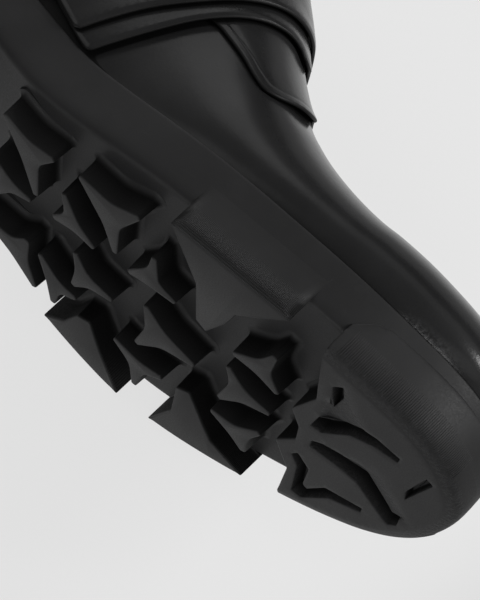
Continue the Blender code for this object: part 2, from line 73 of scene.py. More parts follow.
def smoothCurve(points, steps, closed=False):
    pts = [np.array(p, float) for p in points]
    if closed:
        pts = [pts[-1]] + pts + pts[:2]
    else:
        pts = [2 * pts[0] - pts[1]] + pts + [2 * pts[-1] - pts[-2]]
    curve = []
    for a, b, c, d in zip(pts, pts[1:], pts[2:], pts[3:]):
        t1 = math.sqrt(np.linalg.norm(b - a))
        t2 = t1 + math.sqrt(np.linalg.norm(c - b))
        t3 = t2 + math.sqrt(np.linalg.norm(d - c))
        for k in range(steps):
            t = t1 + (t2 - t1) * k / steps
            ab = a + (b - a) * t / t1
            bc = b + (c - b) * (t - t1) / (t2 - t1)
            cd = c + (d - c) * (t - t2) / (t3 - t2)
            abc = ab + (bc - ab) * t / t2
            bcd = bc + (cd - bc) * (t - t1) / (t3 - t1)
            curve.append(abc + (bcd - abc) * (t - t1) / (t2 - t1))
    if not closed:
        curve.append(pts[-2])
    return np.array(curve)


def table(rows, steps=24):
    curve = smoothCurve(rows, steps)
    return lambda y, column=1: np.interp(y, curve[:, 0], curve[:, column])


plan = {
    "heel": (0.0, 0.0),
    "toe": (7.0, 281.0),
    "rows": (   # y, inner edge, outer edge
        (4.0, 16.5, -16.5), (13.0, 28.5, -29.0), (28.0, 36.5, -37.0), (52.0, 40.5, -41.0),
        (84.0, 41.5, -39.5), (112.0, 42.0, -36.5), (130.0, 42.5, -41.5), (146.0, 44.5, -50.0),
        (160.0, 46.8, -55.5), (173.0, 48.4, -58.3), (190.0, 49.0, -56.0), (207.0, 48.8, -51.0),
        (222.0, 47.8, -45.8), (236.0, 45.3, -40.8), (248.0, 41.8, -35.8), (258.0, 38.2, -30.6),
        (266.0, 33.8, -24.4), (273.0, 27.2, -16.0), (278.0, 18.8, -6.0),
    ),
    "steps": 24,
}


def planLoop():
    inner = [(m, y) for y, m, _ in plan["rows"]]
    outer = [(s, y) for y, _, s in reversed(plan["rows"])]
    return smoothCurve([plan["heel"]] + inner + [plan["toe"]] + outer, plan["steps"], closed=True)


planCurve = planLoop()


class Outline:   # the sole's plan moved inwards by inset
    def __init__(self, inset=0.0):
        ahead = np.roll(planCurve, -1, axis=0) - np.roll(planCurve, 1, axis=0)
        ahead /= np.linalg.norm(ahead, axis=1)[:, None]
        moved = planCurve + inset * np.stack([-ahead[:, 1], ahead[:, 0]], axis=1)
        toe = (len(plan["rows"]) + 1) * plan["steps"]
        self.inner = moved[:toe + 1]
        self.outer = np.concatenate([moved[toe:], moved[:1]])[::-1]
        self.heel = moved[0][1]
        self.toe = moved[toe][1]

    def edge(self, side, y):
        line = self.inner if side > 0 else self.outer
        return np.interp(y, line[:, 1], line[:, 0])

    def at(self, side, share):
        y = self.heel + (self.toe - self.heel) * share
        return np.stack([self.edge(side, y), y], axis=-1)


def spring(y):
    rise = np.clip((y - shoe["springStart"]) / (shoe["soleLength"] - shoe["springStart"]), 0.0, None)
    return shoe["toeSpring"] * rise ** 2


soleSide = {
    "floor": ((0.0, 9.0), (55.0, 9.0), (83.0, 9.0), (84.6, 9.6), (86.6, 15.6), (88.6, 16.9), (100.0, 14.6),
              (112.0, 11.4), (124.0, 9.1), (134.0, 8.5), (200.0, 8.5), (290.0, 8.5)),
    "seat": ((0.0, 42.0), (30.0, 41.5), (55.0, 39.0), (84.0, 33.8), (100.0, 30.8), (112.0, 28.6),
             (124.0, 26.2), (134.0, 25.2), (160.0, 24.6), (200.0, 24.2), (281.0, 21.4), (290.0, 21.0)),
}
floorLine = table(soleSide["floor"])
seatLine = table(soleSide["seat"])


def floorHeight(y):
    return floorLine(y) + spring(y)


def seatHeight(y):
    return seatLine(y) + spring(y)


meshing = {
    "merge": 0.0005,       # corners nearer than this are one
    "sharpAngle": 40.0,
    "snap": 0.02,          # a corner this near to a cut lies on it
    "halvings": 10,        # how finely a cut's new corner is placed
    "weld": 0.01,          # corners of a sheet nearer than this are one
}


def rings(bm, levels, firstCap=False, lastCap=False):   # skin through closed rings of points
    grid = [[bm.verts.new(p) for p in level] for level in levels]
    for low, high in zip(grid, grid[1:]):
        for k in range(len(low)):
            n = (k + 1) % len(low)
            bm.faces.new((low[k], low[n], high[n], high[k]))
    if firstCap:
        bm.faces.new(grid[0][::-1])
    if lastCap:
        bm.faces.new(grid[-1])
    return grid


def markUpright(mesh):   # for the materials: where each corner lies on the upright shoe, with no toe spring
    standUp = layDown.inverted()
    places = []
    for vert in mesh.vertices:
        x, y, z = standUp @ vert.co
        places += (x, y, z - float(spring(y)))
    mesh.attributes.new("upright", "FLOAT_VECTOR", "POINT").data.foreach_set("vector", places)


def meshFrom(bm, name):
    mesh = bpy.data.meshes.new(name)
    bm.to_mesh(mesh)
    bm.free()
    return mesh


def placed(name, data):   # a new object in the scene
    made = bpy.data.objects.new(name, data)
    bpy.context.scene.collection.objects.link(made)
    return made


def pieceFrom(bm, name, sharpAngle=meshing["sharpAngle"]):
    merge = meshing["merge"]
    bmesh.ops.remove_doubles(bm, verts=bm.verts, dist=merge)
    bmesh.ops.dissolve_degenerate(bm, dist=merge / 2, edges=bm.edges)
    bmesh.ops.recalc_face_normals(bm, faces=bm.faces)
    openEdges = sum(1 for e in bm.edges if len(e.link_faces) != 2)
    print(name, len(bm.faces), "faces,", openEdges, "open edges")
    bm.transform(layDown)
    mesh = meshFrom(bm, name)
    markUpright(mesh)
    mesh.shade_smooth()
    mesh.set_sharp_from_angle(angle=math.radians(sharpAngle))
    return placed(name, mesh)


def markPaintedShade(piece, closeness, lift):   # painted shade: 1 at the edge of whatever lies over the piece, 0 away from it
    standUp = layDown.inverted()
    turn = standUp.to_3x3()
    places = np.array([standUp @ v.co for v in piece.data.vertices])
    normals = normalised(np.array([turn @ v.normal for v in piece.data.vertices]))
    values = np.clip(closeness(places + normals * lift), -2.0, 2.0)
    piece.data.attributes.new("crease", "FLOAT", "POINT").data.foreach_set("value", values)
    return piece


def dress(piece, material, slot, *nodes):
    piece.data.materials.clear()
    piece.data.materials.append(material)
    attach(piece, "root")
    if nodes:
        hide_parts(*nodes)
    return piece


def repeatTree(name):   # one unit at each step of a route, turned by the route's "out" and "ahead"
    tree = bpy.data.node_groups.new(name, "GeometryNodeTree")
    tree.is_modifier = True
    sockets = (("Route", "Geometry"), ("Unit", "Object"), ("Spacing", "Float"), ("Finish", "Material"))
    inputs = {label: tree.interface.new_socket(label, in_out="INPUT", socket_type="NodeSocket" + kind)
              for label, kind in sockets}
    tree.interface.new_socket("Detail", in_out="OUTPUT", socket_type="NodeSocketGeometry")

    def node(kind, links=None, **settings):
        made = tree.nodes.new(kind)
        for key, value in settings.items():
            setattr(made, key, value)
        for key, source in (links or {}).items():
            tree.links.new(source, made.inputs[key])
        return made.outputs

    given = node("NodeGroupInput")
    curve = node("GeometryNodeMeshToCurve", {"Mesh": given["Route"]})
    steps = node("GeometryNodeResampleCurve", {"Curve": curve[0], "Length": given["Spacing"]}, mode="LENGTH")
    directions = []
    for label in ("out", "ahead"):
        kind = tree.nodes.new("GeometryNodeInputNamedAttribute")
        kind.data_type = "FLOAT_VECTOR"
        kind.inputs["Name"].default_value = label
        directions.append(kind.outputs["Attribute"])
    turn = node("FunctionNodeAxesToRotation", dict(enumerate(directions)),
                primary_axis="Z", secondary_axis="X")
    unit = node("GeometryNodeObjectInfo", {"Object": given["Unit"]})
    placed = node("GeometryNodeInstanceOnPoints",
                  {"Points": steps[0], "Instance": unit["Geometry"], "Rotation": turn[0]})
    real = node("GeometryNodeRealizeInstances", {"Geometry": placed[0]})
    done = node("GeometryNodeSetMaterial", {"Geometry": real[0], "Material": given["Finish"]})
    node("NodeGroupOutput", {"Detail": done[0]})
    return tree, {label: socket.identifier for label, socket in inputs.items()}


def routeMesh(name, routes):   # a route is rows of place, out, ahead
    bm = bmesh.new()
    out = bm.verts.layers.float_vector.new("out")
    ahead = bm.verts.layers.float_vector.new("ahead")
    turn = layDown.to_3x3().normalized()
    for route in routes:
        verts = []
        for place, outWay, aheadWay in route:
            vert = bm.verts.new(layDown @ Vector(place))
            vert[out] = turn @ Vector(outWay)
            vert[ahead] = turn @ Vector(aheadWay)
            verts.append(vert)
        for a, b in zip(verts, verts[1:]):
            bm.edges.new((a, b))
    return meshFrom(bm, name)


def repeatAlong(name, routes, unit, spacing, finish):
    piece = placed(name, routeMesh(name, routes))
    tree, inputs = repeatTree(name + "Tree")
    modifier = piece.modifiers.new("repeat", "NODES")
    modifier.node_group = tree
    modifier[inputs["Unit"]] = unit
    modifier[inputs["Spacing"]] = spacing / 1000.0
    modifier[inputs["Finish"]] = finish
    bpy.context.view_layer.update()
    evaluated = piece.evaluated_get(bpy.context.evaluated_depsgraph_get())
    made = bpy.data.meshes.new_from_object(evaluated)
    piece.modifiers.clear()
    piece.data = made
    bpy.data.node_groups.remove(tree)
    bpy.data.objects.remove(unit)
    for label in ("out", "ahead"):
        if label in made.attributes:
            made.attributes.remove(made.attributes[label])
    markUpright(made)
    made.shade_smooth()
    print(name, len(made.polygons), "faces")
    return piece


def unitFrom(levels, name):   # closed rod through rings of points in millimetres
    bm = bmesh.new()
    rings(bm, levels, firstCap=True, lastCap=True)
    bmesh.ops.recalc_face_normals(bm, faces=bm.faces)
    bm.transform(Matrix.Scale(0.001, 4))
    unit = placed(name, meshFrom(bm, name))
    unit.hide_render = True
    return unit


soleBody = {
    "stations": 200,
    "breast": (0.285, 0.325, 22),   # finer stations at the heel breast: from, to, how many
    "sharpAngle": 35.0,
    "side": (   # share of the wall's height, inset
        (0.0, 3.2), (0.0, 2.2), (0.012, 1.45), (0.04, 0.85), (0.085, 0.42), (0.15, 0.15), (0.24, 0.02),
        (0.5, 0.0), (0.78, 0.0), (0.93, 0.0), (0.965, 0.03), (0.985, 0.12), (0.996, 0.27), (1.0, 0.5),
        (1.0, 3.2),
    ),
}


def stationShares(count):   # from heel 0 to toe 1, closer together at both ends
    return (1.0 - np.cos(np.pi * np.arange(count + 1) / count)) / 2.0


def slab(rows, shares, heightAt):   # closed body whose side goes through rows of rise and inset
    outlines = [(rise, Outline(inset)) for rise, inset in rows]
    levels = []
    for share in shares:
        ring = []
        for side, order in ((1, outlines), (-1, outlines[::-1])):
            for rise, outline in order:
                x, y = outline.at(side, share)
                ring.append((x, y, heightAt(y, rise)))
        levels.append(ring)
    bm = bmesh.new()
    rings(bm, levels)
    return bm


def soleShell():
    shares = np.concatenate([stationShares(soleBody["stations"]), np.linspace(*soleBody["breast"])])
    return slab(soleBody["side"], np.unique(shares),
                lambda y, rise: floorHeight(y) + (seatHeight(y) - floorHeight(y)) * rise)


def roundCorners(points, radii, steps=4):   # one radius for all corners or one for each
    corners = [np.array(p, float) for p in points]
    radii = np.broadcast_to(radii, len(corners))
    rounded = []
    for k, (corner, radius) in enumerate(zip(corners, radii)):
        before, after = corners[k - 1], corners[(k + 1) % len(corners)]
        back = before - corner
        ahead = after - corner
        reach = min(radius, 0.45 * np.linalg.norm(back), 0.45 * np.linalg.norm(ahead))
        start = corner + back / np.linalg.norm(back) * reach
        end = corner + ahead / np.linalg.norm(ahead) * reach
        for t in np.linspace(0.0, 1.0, steps + 1):
            rounded.append((1 - t) ** 2 * start + 2 * t * (1 - t) * corner + t ** 2 * end)
    return np.array(rounded)


def roundInside(points, radius, steps=3):   # an open line, rounded between its two ends
    rounded = roundCorners(points, radius, steps)[steps + 1:-steps - 1]
    return np.concatenate([[points[0]], rounded, [points[-1]]])


def leftTurning(points):
    nxt = np.roll(points, -1, axis=0)
    area = np.sum(points[:, 0] * nxt[:, 1] - nxt[:, 0] * points[:, 1])
    return points if area > 0 else points[::-1]


def outward(points):   # unit normals of a left-turning closed outline, longer at sharp corners
    ahead = np.roll(points, -1, axis=0) - points
    ahead /= np.linalg.norm(ahead, axis=1)[:, None] + 1e-9
    normal = np.stack([ahead[:, 1], -ahead[:, 0]], axis=1)
    mean = normal + np.roll(normal, 1, axis=0)
    mean /= np.linalg.norm(mean, axis=1)[:, None] + 1e-9
    stretch = np.clip(np.sum(mean * normal, axis=1), 0.5, 1.0)
    return mean / stretch[:, None]


lugs = {
    "tipWidth": 1.7,
    "cornerRadius": 0.5,
    "side": (   # height above the tread, growth of the outline
        (0.0, -0.42), (0.1, -0.16), (0.26, -0.03), (0.5, 0.02),
    ),
    "foot": (   # height left to the channel floor, growth
        (1.9, 0.28), (1.1, 0.42), (0.5, 0.78), (0.16, 1.3), (0.0, 2.1), (-1.0, 2.2),
    ),
    "stars": (   # name, x, y, then a tip and the hollow after it, three times, counted from the centre
        ("A1", 15.2, 217.4, (-3.4, -9.4), (3.5, -1.4), (10.4, 3.2), (0.5, 2.9), (-6.6, 6.4), (-4.2, -1.3)),
        ("A2", -5.5, 212.2, (-10.2, -5.6), (1.2, -3.3), (8.9, -4.8), (3.3, 2.1), (1.2, 10.8), (-3.4, 2.0)),
        ("A3", -25.6, 214.6, (0.2, -9.6), (1.7, -1.4), (7.8, 6.8), (0.2, 3.8), (-7.9, 3.2), (-4.2, -2.2)),
        ("B1", 15.6, 178.4, (-6.6, -8.0), (2.8, -2.2), (10.0, -0.6), (-0.5, 2.2), (-3.1, 8.6), (-5.4, -1.8)),
        ("B2", -11.4, 183.6, (-11.8, -6.7), (-0.6, -4.6), (10.6, -5.8), (4.8, 2.2), (1.3, 13.2), (-3.8, 1.8)),
        ("B3", -34.4, 178.4, (3.8, -9.0), (2.6, 0.0), (3.8, 8.8), (-2.0, 2.6), (-11.4, 0.2), (-2.0, -2.6)),
        ("L3", 28.4, 161.6, (6.4, -11.8), (5.9, -0.6), (10.0, 9.2), (-2.9, 3.6), (-16.0, 3.4), (-6.4, -1.9)),
        ("C1", 9.6, 149.6, (-4.8, -6.6), (1.2, -3.0), (10.6, -4.2), (1.4, 2.4), (-3.8, 8.4), (-3.4, 0.8)),
        ("C2", -12.8, 156.4, (-8.2, -3.6), (0.2, -3.6), (8.8, -4.4), (2.6, 1.0), (0.4, 10.2), (-3.0, 2.0)),
        ("C3", -28.6, 146.4, (-10.4, 0.4), (-1.4, -3.0), (8.8, -6.4), (2.8, 1.6), (1.4, 8.0), (-2.6, 2.4)),
        ("C4", 2.0, 126.0, (-8.8, -3.4), (-0.4, -3.0), (7.4, -6.0), (2.6, 1.6), (1.0, 8.6), (-2.4, 2.0)),
        ("L4", 26.6, 131.8, (8.0, -9.4), (5.0, -0.6), (5.6, 8.8), (-3.2, 4.0), (-18.6, 4.4), (-6.0, -2.0)),
        ("R4", -27.6, 132.4, (3.6, -14.4), (4.2, -2.8), (9.0, 2.7), (-1.2, 3.8), (-11.6, 7.4), (-3.8, -2.6)),
        ("H1", 0.0, 40.0, (0.0, -13.0), (3.6, -1.8), (11.0, 6.0), (0.0, 3.6), (-11.0, 6.0), (-3.6, -1.8)),
        ("H2", 0.0, 70.0, (-11.0, -6.0), (0.0, -3.6), (11.0, -6.0), (3.6, 1.8), (0.0, 11.0), (-3.6, 1.8)),
    ),
    "hollowRadius": 2.6,
}


def starOutline(x, y, arms):
    half = lugs["tipWidth"] / 2.0
    corners, radii = [], []
    for tip, hollow in zip(arms[::2], arms[1::2]):
        tip = Vector(tip)
        across = tip.normalized().orthogonal() * half
        corners += [(x + tip.x - across.x, y + tip.y - across.y),
                    (x + tip.x + across.x, y + tip.y + across.y),
                    (x + hollow[0], y + hollow[1])]
        radii += [lugs["cornerRadius"], lugs["cornerRadius"], lugs["hollowRadius"]]
    return roundCorners(corners, radii)


def lugLevels(outline, floor):
    normal = outward(outline)
    rows = list(lugs["side"]) + [(floor - left, grow) for left, grow in lugs["foot"]]
    return [(height, outline + normal * grow) for height, grow in rows]


def addStars(bm):
    for _, x, y, *arms in lugs["stars"]:
        outline = starOutline(x, y, arms)
        floor = float(floorLine(y))
        levels = []
        for height, level in lugLevels(outline, floor):
            levels.append([(px, py, height + spring(py)) for px, py in level])
        rings(bm, levels, firstCap=True, lastCap=True)


edgeLugs = {
    "rows": (   # name, side, y0, y1, proud, top, inner outline from the y0 end to the y1 end
        ("L2", 1, 181.0, 222.0, 2.4, 16.5,
         ((30.7, 192.2), (13.6, 194.4), (11.6, 198.3), (22.8, 203.8), (31.0, 206.3), (37.3, 212.4))),
        ("R2", -1, 185.5, 219.0, 2.2, 16.5,
         ((-43.0, 192.4), (-28.6, 192.6), (-26.0, 197.2), (-36.6, 203.4), (-42.0, 207.0))),
        ("R3", -1, 144.5, 173.5, 2.2, 16.5,
         ((-44.0, 151.4), (-35.0, 156.0), (-33.4, 160.4), (-44.5, 165.4))),
        ("HM2", 1, 54.0, 82.0, 1.6, 26.0, ((30.0, 56.0), (16.0, 64.0), (16.0, 68.0), (28.0, 80.0))),
        ("HM1", 1, 22.0, 47.0, 1.6, 26.0, ((28.0, 27.0), (15.0, 32.0), (15.0, 36.0), (29.0, 43.0))),
        ("HL2", -1, 54.0, 82.0, 1.6, 26.0, ((-30.0, 56.0), (-16.0, 64.0), (-16.0, 68.0), (-28.0, 80.0))),
        ("HL1", -1, 22.0, 47.0, 1.6, 26.0, ((-28.0, 27.0), (-15.0, 32.0), (-15.0, 36.0), (-29.0, 43.0))),
    ),
    "edgePoints": 40,
    "bevel": 2.6,
    "knurl": ((0.0, 1.0), (1.6, 1.0), (4.5, 0.6), (9.0, 0.0)),   # height, how deep the cross cut pattern is
    "side": (   # height as a share of the top, how much of proud is kept, growth of the inner outline
        (0.0, -0.42, -0.42), (0.006, -0.2, -0.16), (0.018, 0.05, -0.03), (0.034, 0.3, 0.02),
        (0.06, 0.56, 0.04), (0.1, 0.82, 0.06), (0.15, 0.97, 0.1), (0.2, 1.0, 0.14), (0.3, 0.84, 0.24),
    ),
    "upper": (   # share of the top, how much of proud is kept
        (0.62, 0.33), (0.74, 0.185), (0.86, 0.075), (0.95, 0.02), (1.0, -0.02), (1.06, -0.9),
    ),
    "rootGrow": 2.2,         # growth of the inner outline inside the rubber
    "fade": (0.8, 1.5),      # how the wall draws back to the sole's side towards the top: span, power
}


def keptProud(share):   # how much of a lug's proud is left at a share of its height
    span, power = edgeLugs["fade"]
    return float(np.clip((1.0 - share) / span, 0.0, 1.0)) ** power


def addEdgeLugs(bm):
    knurl = bm.verts.layers.float.new("knurl")
    count = edgeLugs["edgePoints"]
    for _, side, y0, y1, proud, top, inner in edgeLugs["rows"]:
        along = np.linspace(y0, y1, count)
        floor = float(floorLine((y0 + y1) / 2.0))
        rows = [(top * rise, keep, grow) for rise, keep, grow in edgeLugs["side"]]
        rows += [(floor - left, keptProud((floor - left) / top), grow) for left, grow in lugs["foot"]]
        rows = sorted(rows + [(top * rise, keep, edgeLugs["rootGrow"]) for rise, keep in edgeLugs["upper"]])
        innerLine = roundInside(inner, lugs["cornerRadius"])
        levels = []
        for height, keep, grow in rows:
            outline = Outline(-proud * keep)
            trimEnds = np.clip(-grow, 0.0, 1.0)
            ys = np.interp(along, [y0, y1], [y0 + trimEnds, y1 - trimEnds])
            flush = Outline(0.0).edge(side, ys)
            bevel = np.clip(np.minimum(ys - y0, y1 - ys) / edgeLugs["bevel"], 0.0, 1.0)
            edge = np.stack([flush + (outline.edge(side, ys) - flush) * bevel, ys], axis=1)
            whole = np.concatenate([edge, innerLine[::-1]])
            whole = whole if side > 0 else whole[::-1]
            normal = outward(whole)
            isInner = np.arange(len(whole)) >= count
            if side < 0:
                isInner = isInner[::-1]
            whole = whole + normal * grow * isInner[:, None]
            levels.append([(px, py, height + spring(py)) for px, py in whole])
        grid = rings(bm, levels, firstCap=True, lastCap=True)
        for ring, (height, _, _) in zip(grid, rows):
            cross = float(np.interp(height, *np.array(edgeLugs["knurl"]).T))
            for vert, hidden in zip(ring, isInner):
                vert[knurl] = 0.0 if hidden else cross


toeLug = {
    "arc": 160,
    "floor": 8.5,
    "top": 18.8,
    "rearRise": 1.0,       # the rear edge ends this far above the channel floor
    "rearRadius": 0.6,
    "levels": (   # height, inset of the side, growth of the rear edge
        (0.0, 3.4, -0.42), (0.1, 2.95, -0.16), (0.26, 2.3, -0.03), (0.45, 1.6, 0.02), (0.7, 0.75, 0.05),
        (1.0, 0.1, 0.08), (1.4, -0.4, 0.1), (1.9, -0.75, 0.12), (2.6, -1.0, 0.15), (3.6, -1.14, 0.18),
        (5.0, -1.2, 0.22), (6.6, -1.18, 0.28), (7.4, -1.16, 0.42), (8.0, -1.14, 0.78), (8.34, -1.12, 1.3),
        (8.5, -1.1, 2.1), (10.5, -1.0, 2.2), (14.0, -0.8, 2.2), (16.4, -0.6, 2.2), (17.4, -0.4, 2.2),
        (18.0, -0.1, 2.2), (18.4, 0.3, 2.2), (18.8, 1.2, 2.2),
    ),
    "rear": (   # x, y between the two side corners
        (27.8, 234.6), (20.5, 235.2), (7.6, 229.0), (0.8, 232.3), (-6.4, 232.4), (-14.0, 226.6),
        (-24.6, 232.0),
    ),
    "corners": (233.9, 231.0),    # y of the inner and the outer corner
    "shoulder": ((226.0, 8.6), (232.7, 10.3), (237.5, 16.4), (241.5, 18.4), (245.0, 18.8), (290.0, 18.8)),
    "grain": 2.2,
    "cuts": (   # name, depth, outline on the tread
        ("near", 5.0, ((5.9, 235.6), (13.1, 237.3), (17.6, 244.6), (21.8, 250.6), (21.9, 254.8),
                       (19.6, 262.4), (17.0, 262.0), (17.2, 254.4), (14.8, 247.3), (6.0, 239.0))),
        ("far", 5.0, ((-4.7, 237.0), (-1.4, 237.0), (0.9, 240.4), (2.4, 246.6), (0.2, 254.6), (-8.5, 261.8),
                      (-12.0, 264.3), (-10.6, 267.2), (-15.0, 267.0), (-17.6, 264.4), (-11.3, 257.9),
                      (-6.6, 253.0), (-4.9, 245.6))),
        ("inner", 4.0, ((32.4, 238.8), (34.4, 241.7), (29.0, 242.3), (20.8, 240.1), (27.7, 239.4))),
        ("front", 3.0, ((1.2, 267.0), (5.3, 266.6), (18.2, 271.0), (16.5, 273.2))),
        ("fork", 5.0, ((-12.6, 234.2), (-17.0, 238.4), (-26.6, 237.8), (-27.8, 239.4), (-20.4, 244.6),
                       (-18.0, 256.4), (-20.4, 256.2), (-24.4, 246.4), (-34.6, 238.2), (-34.2, 235.0),
                       (-19.2, 234.8), (-15.2, 232.4))),
    ),
    "rampDepth": 1.2,
    "ramps": (   # high edge of a face that slopes into the rubber, its slope, outline
        ((38.8, 241.6), (23.2, 251.3), 0.16, ((38.8, 241.6), (23.2, 251.3), (19.0, 250.0), (8.0, 238.0),
                                              (20.0, 239.0), (33.0, 240.6))),
        ((6.7, 257.8), (-5.2, 267.6), 0.2, ((1.0, 251.6), (6.7, 257.8), (4.4, 261.0), (-3.8, 266.6),
                                            (-10.4, 268.2), (-12.6, 264.4), (-3.0, 257.0))),
    ),
    "cutRadius": 0.5,
    "cutSide": ((0.0, 0.34), (0.1, 0.12), (0.3, 0.0)),        # depth in the cut, growth of its outline
    "cutFoot": ((0.7, -0.12), (0.2, -0.3), (0.0, -0.5)),      # depth left to its floor, growth
}


def treadRise(x, y):   # how far the toe lug's face lies above the tread's lowest line
    rise = spring(y)
    for high, end, slope, outline in toeLug["ramps"]:
        if inside((x, y), np.array(outline)):
            ax, ay = end[0] - high[0], end[1] - high[1]
            away = abs(ax * (y - high[1]) - ay * (x - high[0])) / math.hypot(ax, ay)
            rise += min(away * slope, toeLug["rampDepth"])
    return rise


def toeOutline(inset, grow):
    outline = Outline(inset)
    inner, outer = toeLug["corners"]
    ramp = np.sin(np.linspace(0.0, math.pi / 2.0, toeLug["arc"]))
    ys = inner + (outline.toe - inner) * ramp
    innerSide = np.stack([outline.edge(1, ys), ys], axis=1)
    ys = outer + (outline.toe - outer) * ramp
    outerSide = np.stack([outline.edge(-1, ys), ys], axis=1)[::-1]
    arc = np.concatenate([innerSide, outerSide[1:]])
    rear = roundInside([innerSide[0], *toeLug["rear"], outerSide[-1]], toeLug["rearRadius"])[1:-1]
    whole = np.concatenate([arc, rear[::-1]])
    normal = outward(whole)
    isRear = np.arange(len(whole)) >= len(arc)
    return whole + normal * grow * isRear[:, None], len(arc)


def addToeLug(bm):
    levels = []
    floor = toeLug["floor"]
    for height, inset, grow in toeLug["levels"]:
        outline, arcCount = toeOutline(inset, grow)
        shoulder = np.interp(outline[:, 1], *np.array(toeLug["shoulder"]).T)
        raised = floor + (height - floor) * (shoulder - floor) / (toeLug["top"] - floor)
        rise = np.where(height > floor, raised, height)
        if height > floor:
            rise[arcCount:] = np.minimum(rise[arcCount:], floor + toeLug["rearRise"])
        levels.append(np.stack([outline[:, 0], outline[:, 1], rise + spring(outline[:, 1])], axis=1))
    grid = rings(bm, levels, lastCap=True)
    loops = [grid[0]]
    for _, depth, points in toeLug["cuts"]:
        outline = leftTurning(roundCorners(points, toeLug["cutRadius"], 2))
        normal = outward(outline)
        walls = list(toeLug["cutSide"]) + [(depth - left, grow) for left, grow in toeLug["cutFoot"]]
        walls = [(height, outline + normal * grow) for height, grow in walls]
        walls = [[(x, y, height + (treadRise(x, y) if height < 1.0 else spring(y))) for x, y in level]
                 for height, level in walls]
        hole = rings(bm, walls, lastCap=True)
        loops.append(hole[0])
    fillFlat(bm, loops, toeLug["grain"])


def fillFlat(bm, loops, grain):   # triangulated tread face between the outline and its holes
    corners = [v for loop in loops for v in loop]
    points = [Vector((v.co.x, v.co.y)) for v in corners]
    edges, start = [], 0
    for loop in loops:
        count = len(loop)
        edges += [(start + k, start + (k + 1) % count) for k in range(count)]
        start += count
    flat = np.array([tuple(p) for p in points])
    low, high = flat.min(axis=0), flat.max(axis=0)
    for x in np.arange(low[0] + grain / 2, high[0], grain):
        for y in np.arange(low[1] + grain / 2, high[1], grain):
            points.append(Vector((x, y)))
    verts, _, faces, fromVerts, _, _ = delaunay_2d_cdt(points, edges, [], 2, 1e-5)
    made = {}
    polygons = [np.array([tuple(v.co.xy) for v in loop]) for loop in loops]

    def vertAt(k):
        if k not in made:
            known = [n for n in fromVerts[k] if n < len(corners)]
            p = verts[k]
            made[k] = corners[known[0]] if known else bm.verts.new((p.x, p.y, treadRise(p.x, p.y)))
        return made[k]

    for face in faces:
        middle = sum((verts[k] for k in face), Vector((0.0, 0.0))) / len(face)
        if inside(middle, polygons[0]) and not any(inside(middle, hole) for hole in polygons[1:]):
            ring = [vertAt(k) for k in face]
            if len(set(ring)) == len(ring):
                bm.faces.new(ring)


def inside(point, polygon):
    x, y = point
    x0, y0 = polygon[:, 0], polygon[:, 1]
    x1, y1 = np.roll(x0, -1), np.roll(y0, -1)
    crossing = (y0 > y) != (y1 > y)
    height = np.where(y1 == y0, 1e-9, y1 - y0)
    return np.sum(crossing & (x < (x1 - x0) * (y - y0) / height + x0)) % 2 == 1


toeRibs = {
    "pitch": 0.63,
    "half": 0.2,
    "crown": 0.08,             # half the rib's flat top
    "sink": (0.12, 0.3),       # how deep the rib's edges and its back stand in the wall
    "from": (236.0, 234.5),    # y where the ribs start on the inner and the outer side
    "to": 276.0,
    "side": (   # height, proud of the wall
        (0.9, -0.1), (1.5, 0.12), (2.2, 0.21), (3.6, 0.21),
        (5.6, 0.17), (7.6, 0.12), (9.4, 0.06), (11.0, -0.06),
    ),
}


def makeToeRibs(finish):
    wall = np.array(toeLug["levels"])
    half, crown = toeRibs["half"], toeRibs["crown"]
    edge, back = toeRibs["sink"]
    levels = []
    for height, proud in toeRibs["side"]:
        out = -float(np.interp(height, wall[:, 0], wall[:, 1]))
        section = ((-half, -edge), (-crown, proud), (crown, proud), (half, -edge), (0.0, -back))
        levels.append([(height, across, out + stand) for across, stand in section])
    unit = unitFrom(levels, "toeRib")
    outline = Outline()
    routes = []
    for side, start in zip((1, -1), toeRibs["from"]):
        line = outline.inner if side > 0 else outline.outer
        line = line[(line[:, 1] > start) & (line[:, 1] < toeRibs["to"])]
        ahead = np.gradient(line, axis=0)
        ahead /= np.linalg.norm(ahead, axis=1)[:, None]
        routes.append([((x, y, float(spring(y))), (side * ay, -side * ax, 0.0), (0.0, 0.0, 1.0))
                       for (x, y), (ax, ay) in zip(line, ahead)])
    return repeatAlong("toe_ribs", routes, unit, toeRibs["pitch"], finish)


# painted shade: the lug walls between the tread and the channel floor are drawn darker
wallShadeBands = {
    "outerBand": 3.0,      # walls nearer to the sole's edge than this get no painted shade
    "band": ((0.15, 0.0), (0.9, 1.0), (6.6, 1.0), (8.3, 0.0)),   # height, how much painted shade the wall gets
    "endBand": ((0.1, 0.0), (0.8, 0.8), (10.0, 0.8), (15.5, 0.0)),
    "endSpan": (143.5, 234.6),    # lug ends between these y get painted shade out to the sole's edge
    "facing": 0.6,                # a wall is an end, or flat, when its normal passes this
}


def markPaintedWallShade(bm):   # painted shade on the lug walls between the tread and the channel floor
    deep = bm.verts.layers.float.new("deep")
    bm.normal_update()
    places = np.array([v.co for v in bm.verts])
    normals = np.array([v.normal for v in bm.verts])
    x, y = places[:, 0], places[:, 1]
    core = Outline(wallShadeBands["outerBand"])
    within = (x < core.edge(1, y)) & (x > core.edge(-1, y)) & (y < core.toe)
    low, high = wallShadeBands["endSpan"]
    ends = (np.abs(normals[:, 1]) > wallShadeBands["facing"]) & (y > low) & (y < high)
    height = places[:, 2] - spring(y)
    walls = np.interp(height, *np.array(wallShadeBands["band"]).T) * within
    shades = np.maximum(walls, np.interp(height, *np.array(wallShadeBands["endBand"]).T) * ends)
    shades *= np.abs(normals[:, 2]) < wallShadeBands["facing"]
    for vert, shade in zip(bm.verts, shades):
        vert[deep] = float(shade)


def makeOutsole():
    bm = soleShell()
    addStars(bm)
    addEdgeLugs(bm)
    addToeLug(bm)
    markPaintedWallShade(bm)
    return pieceFrom(bm, "outsole_shell", soleBody["sharpAngle"])


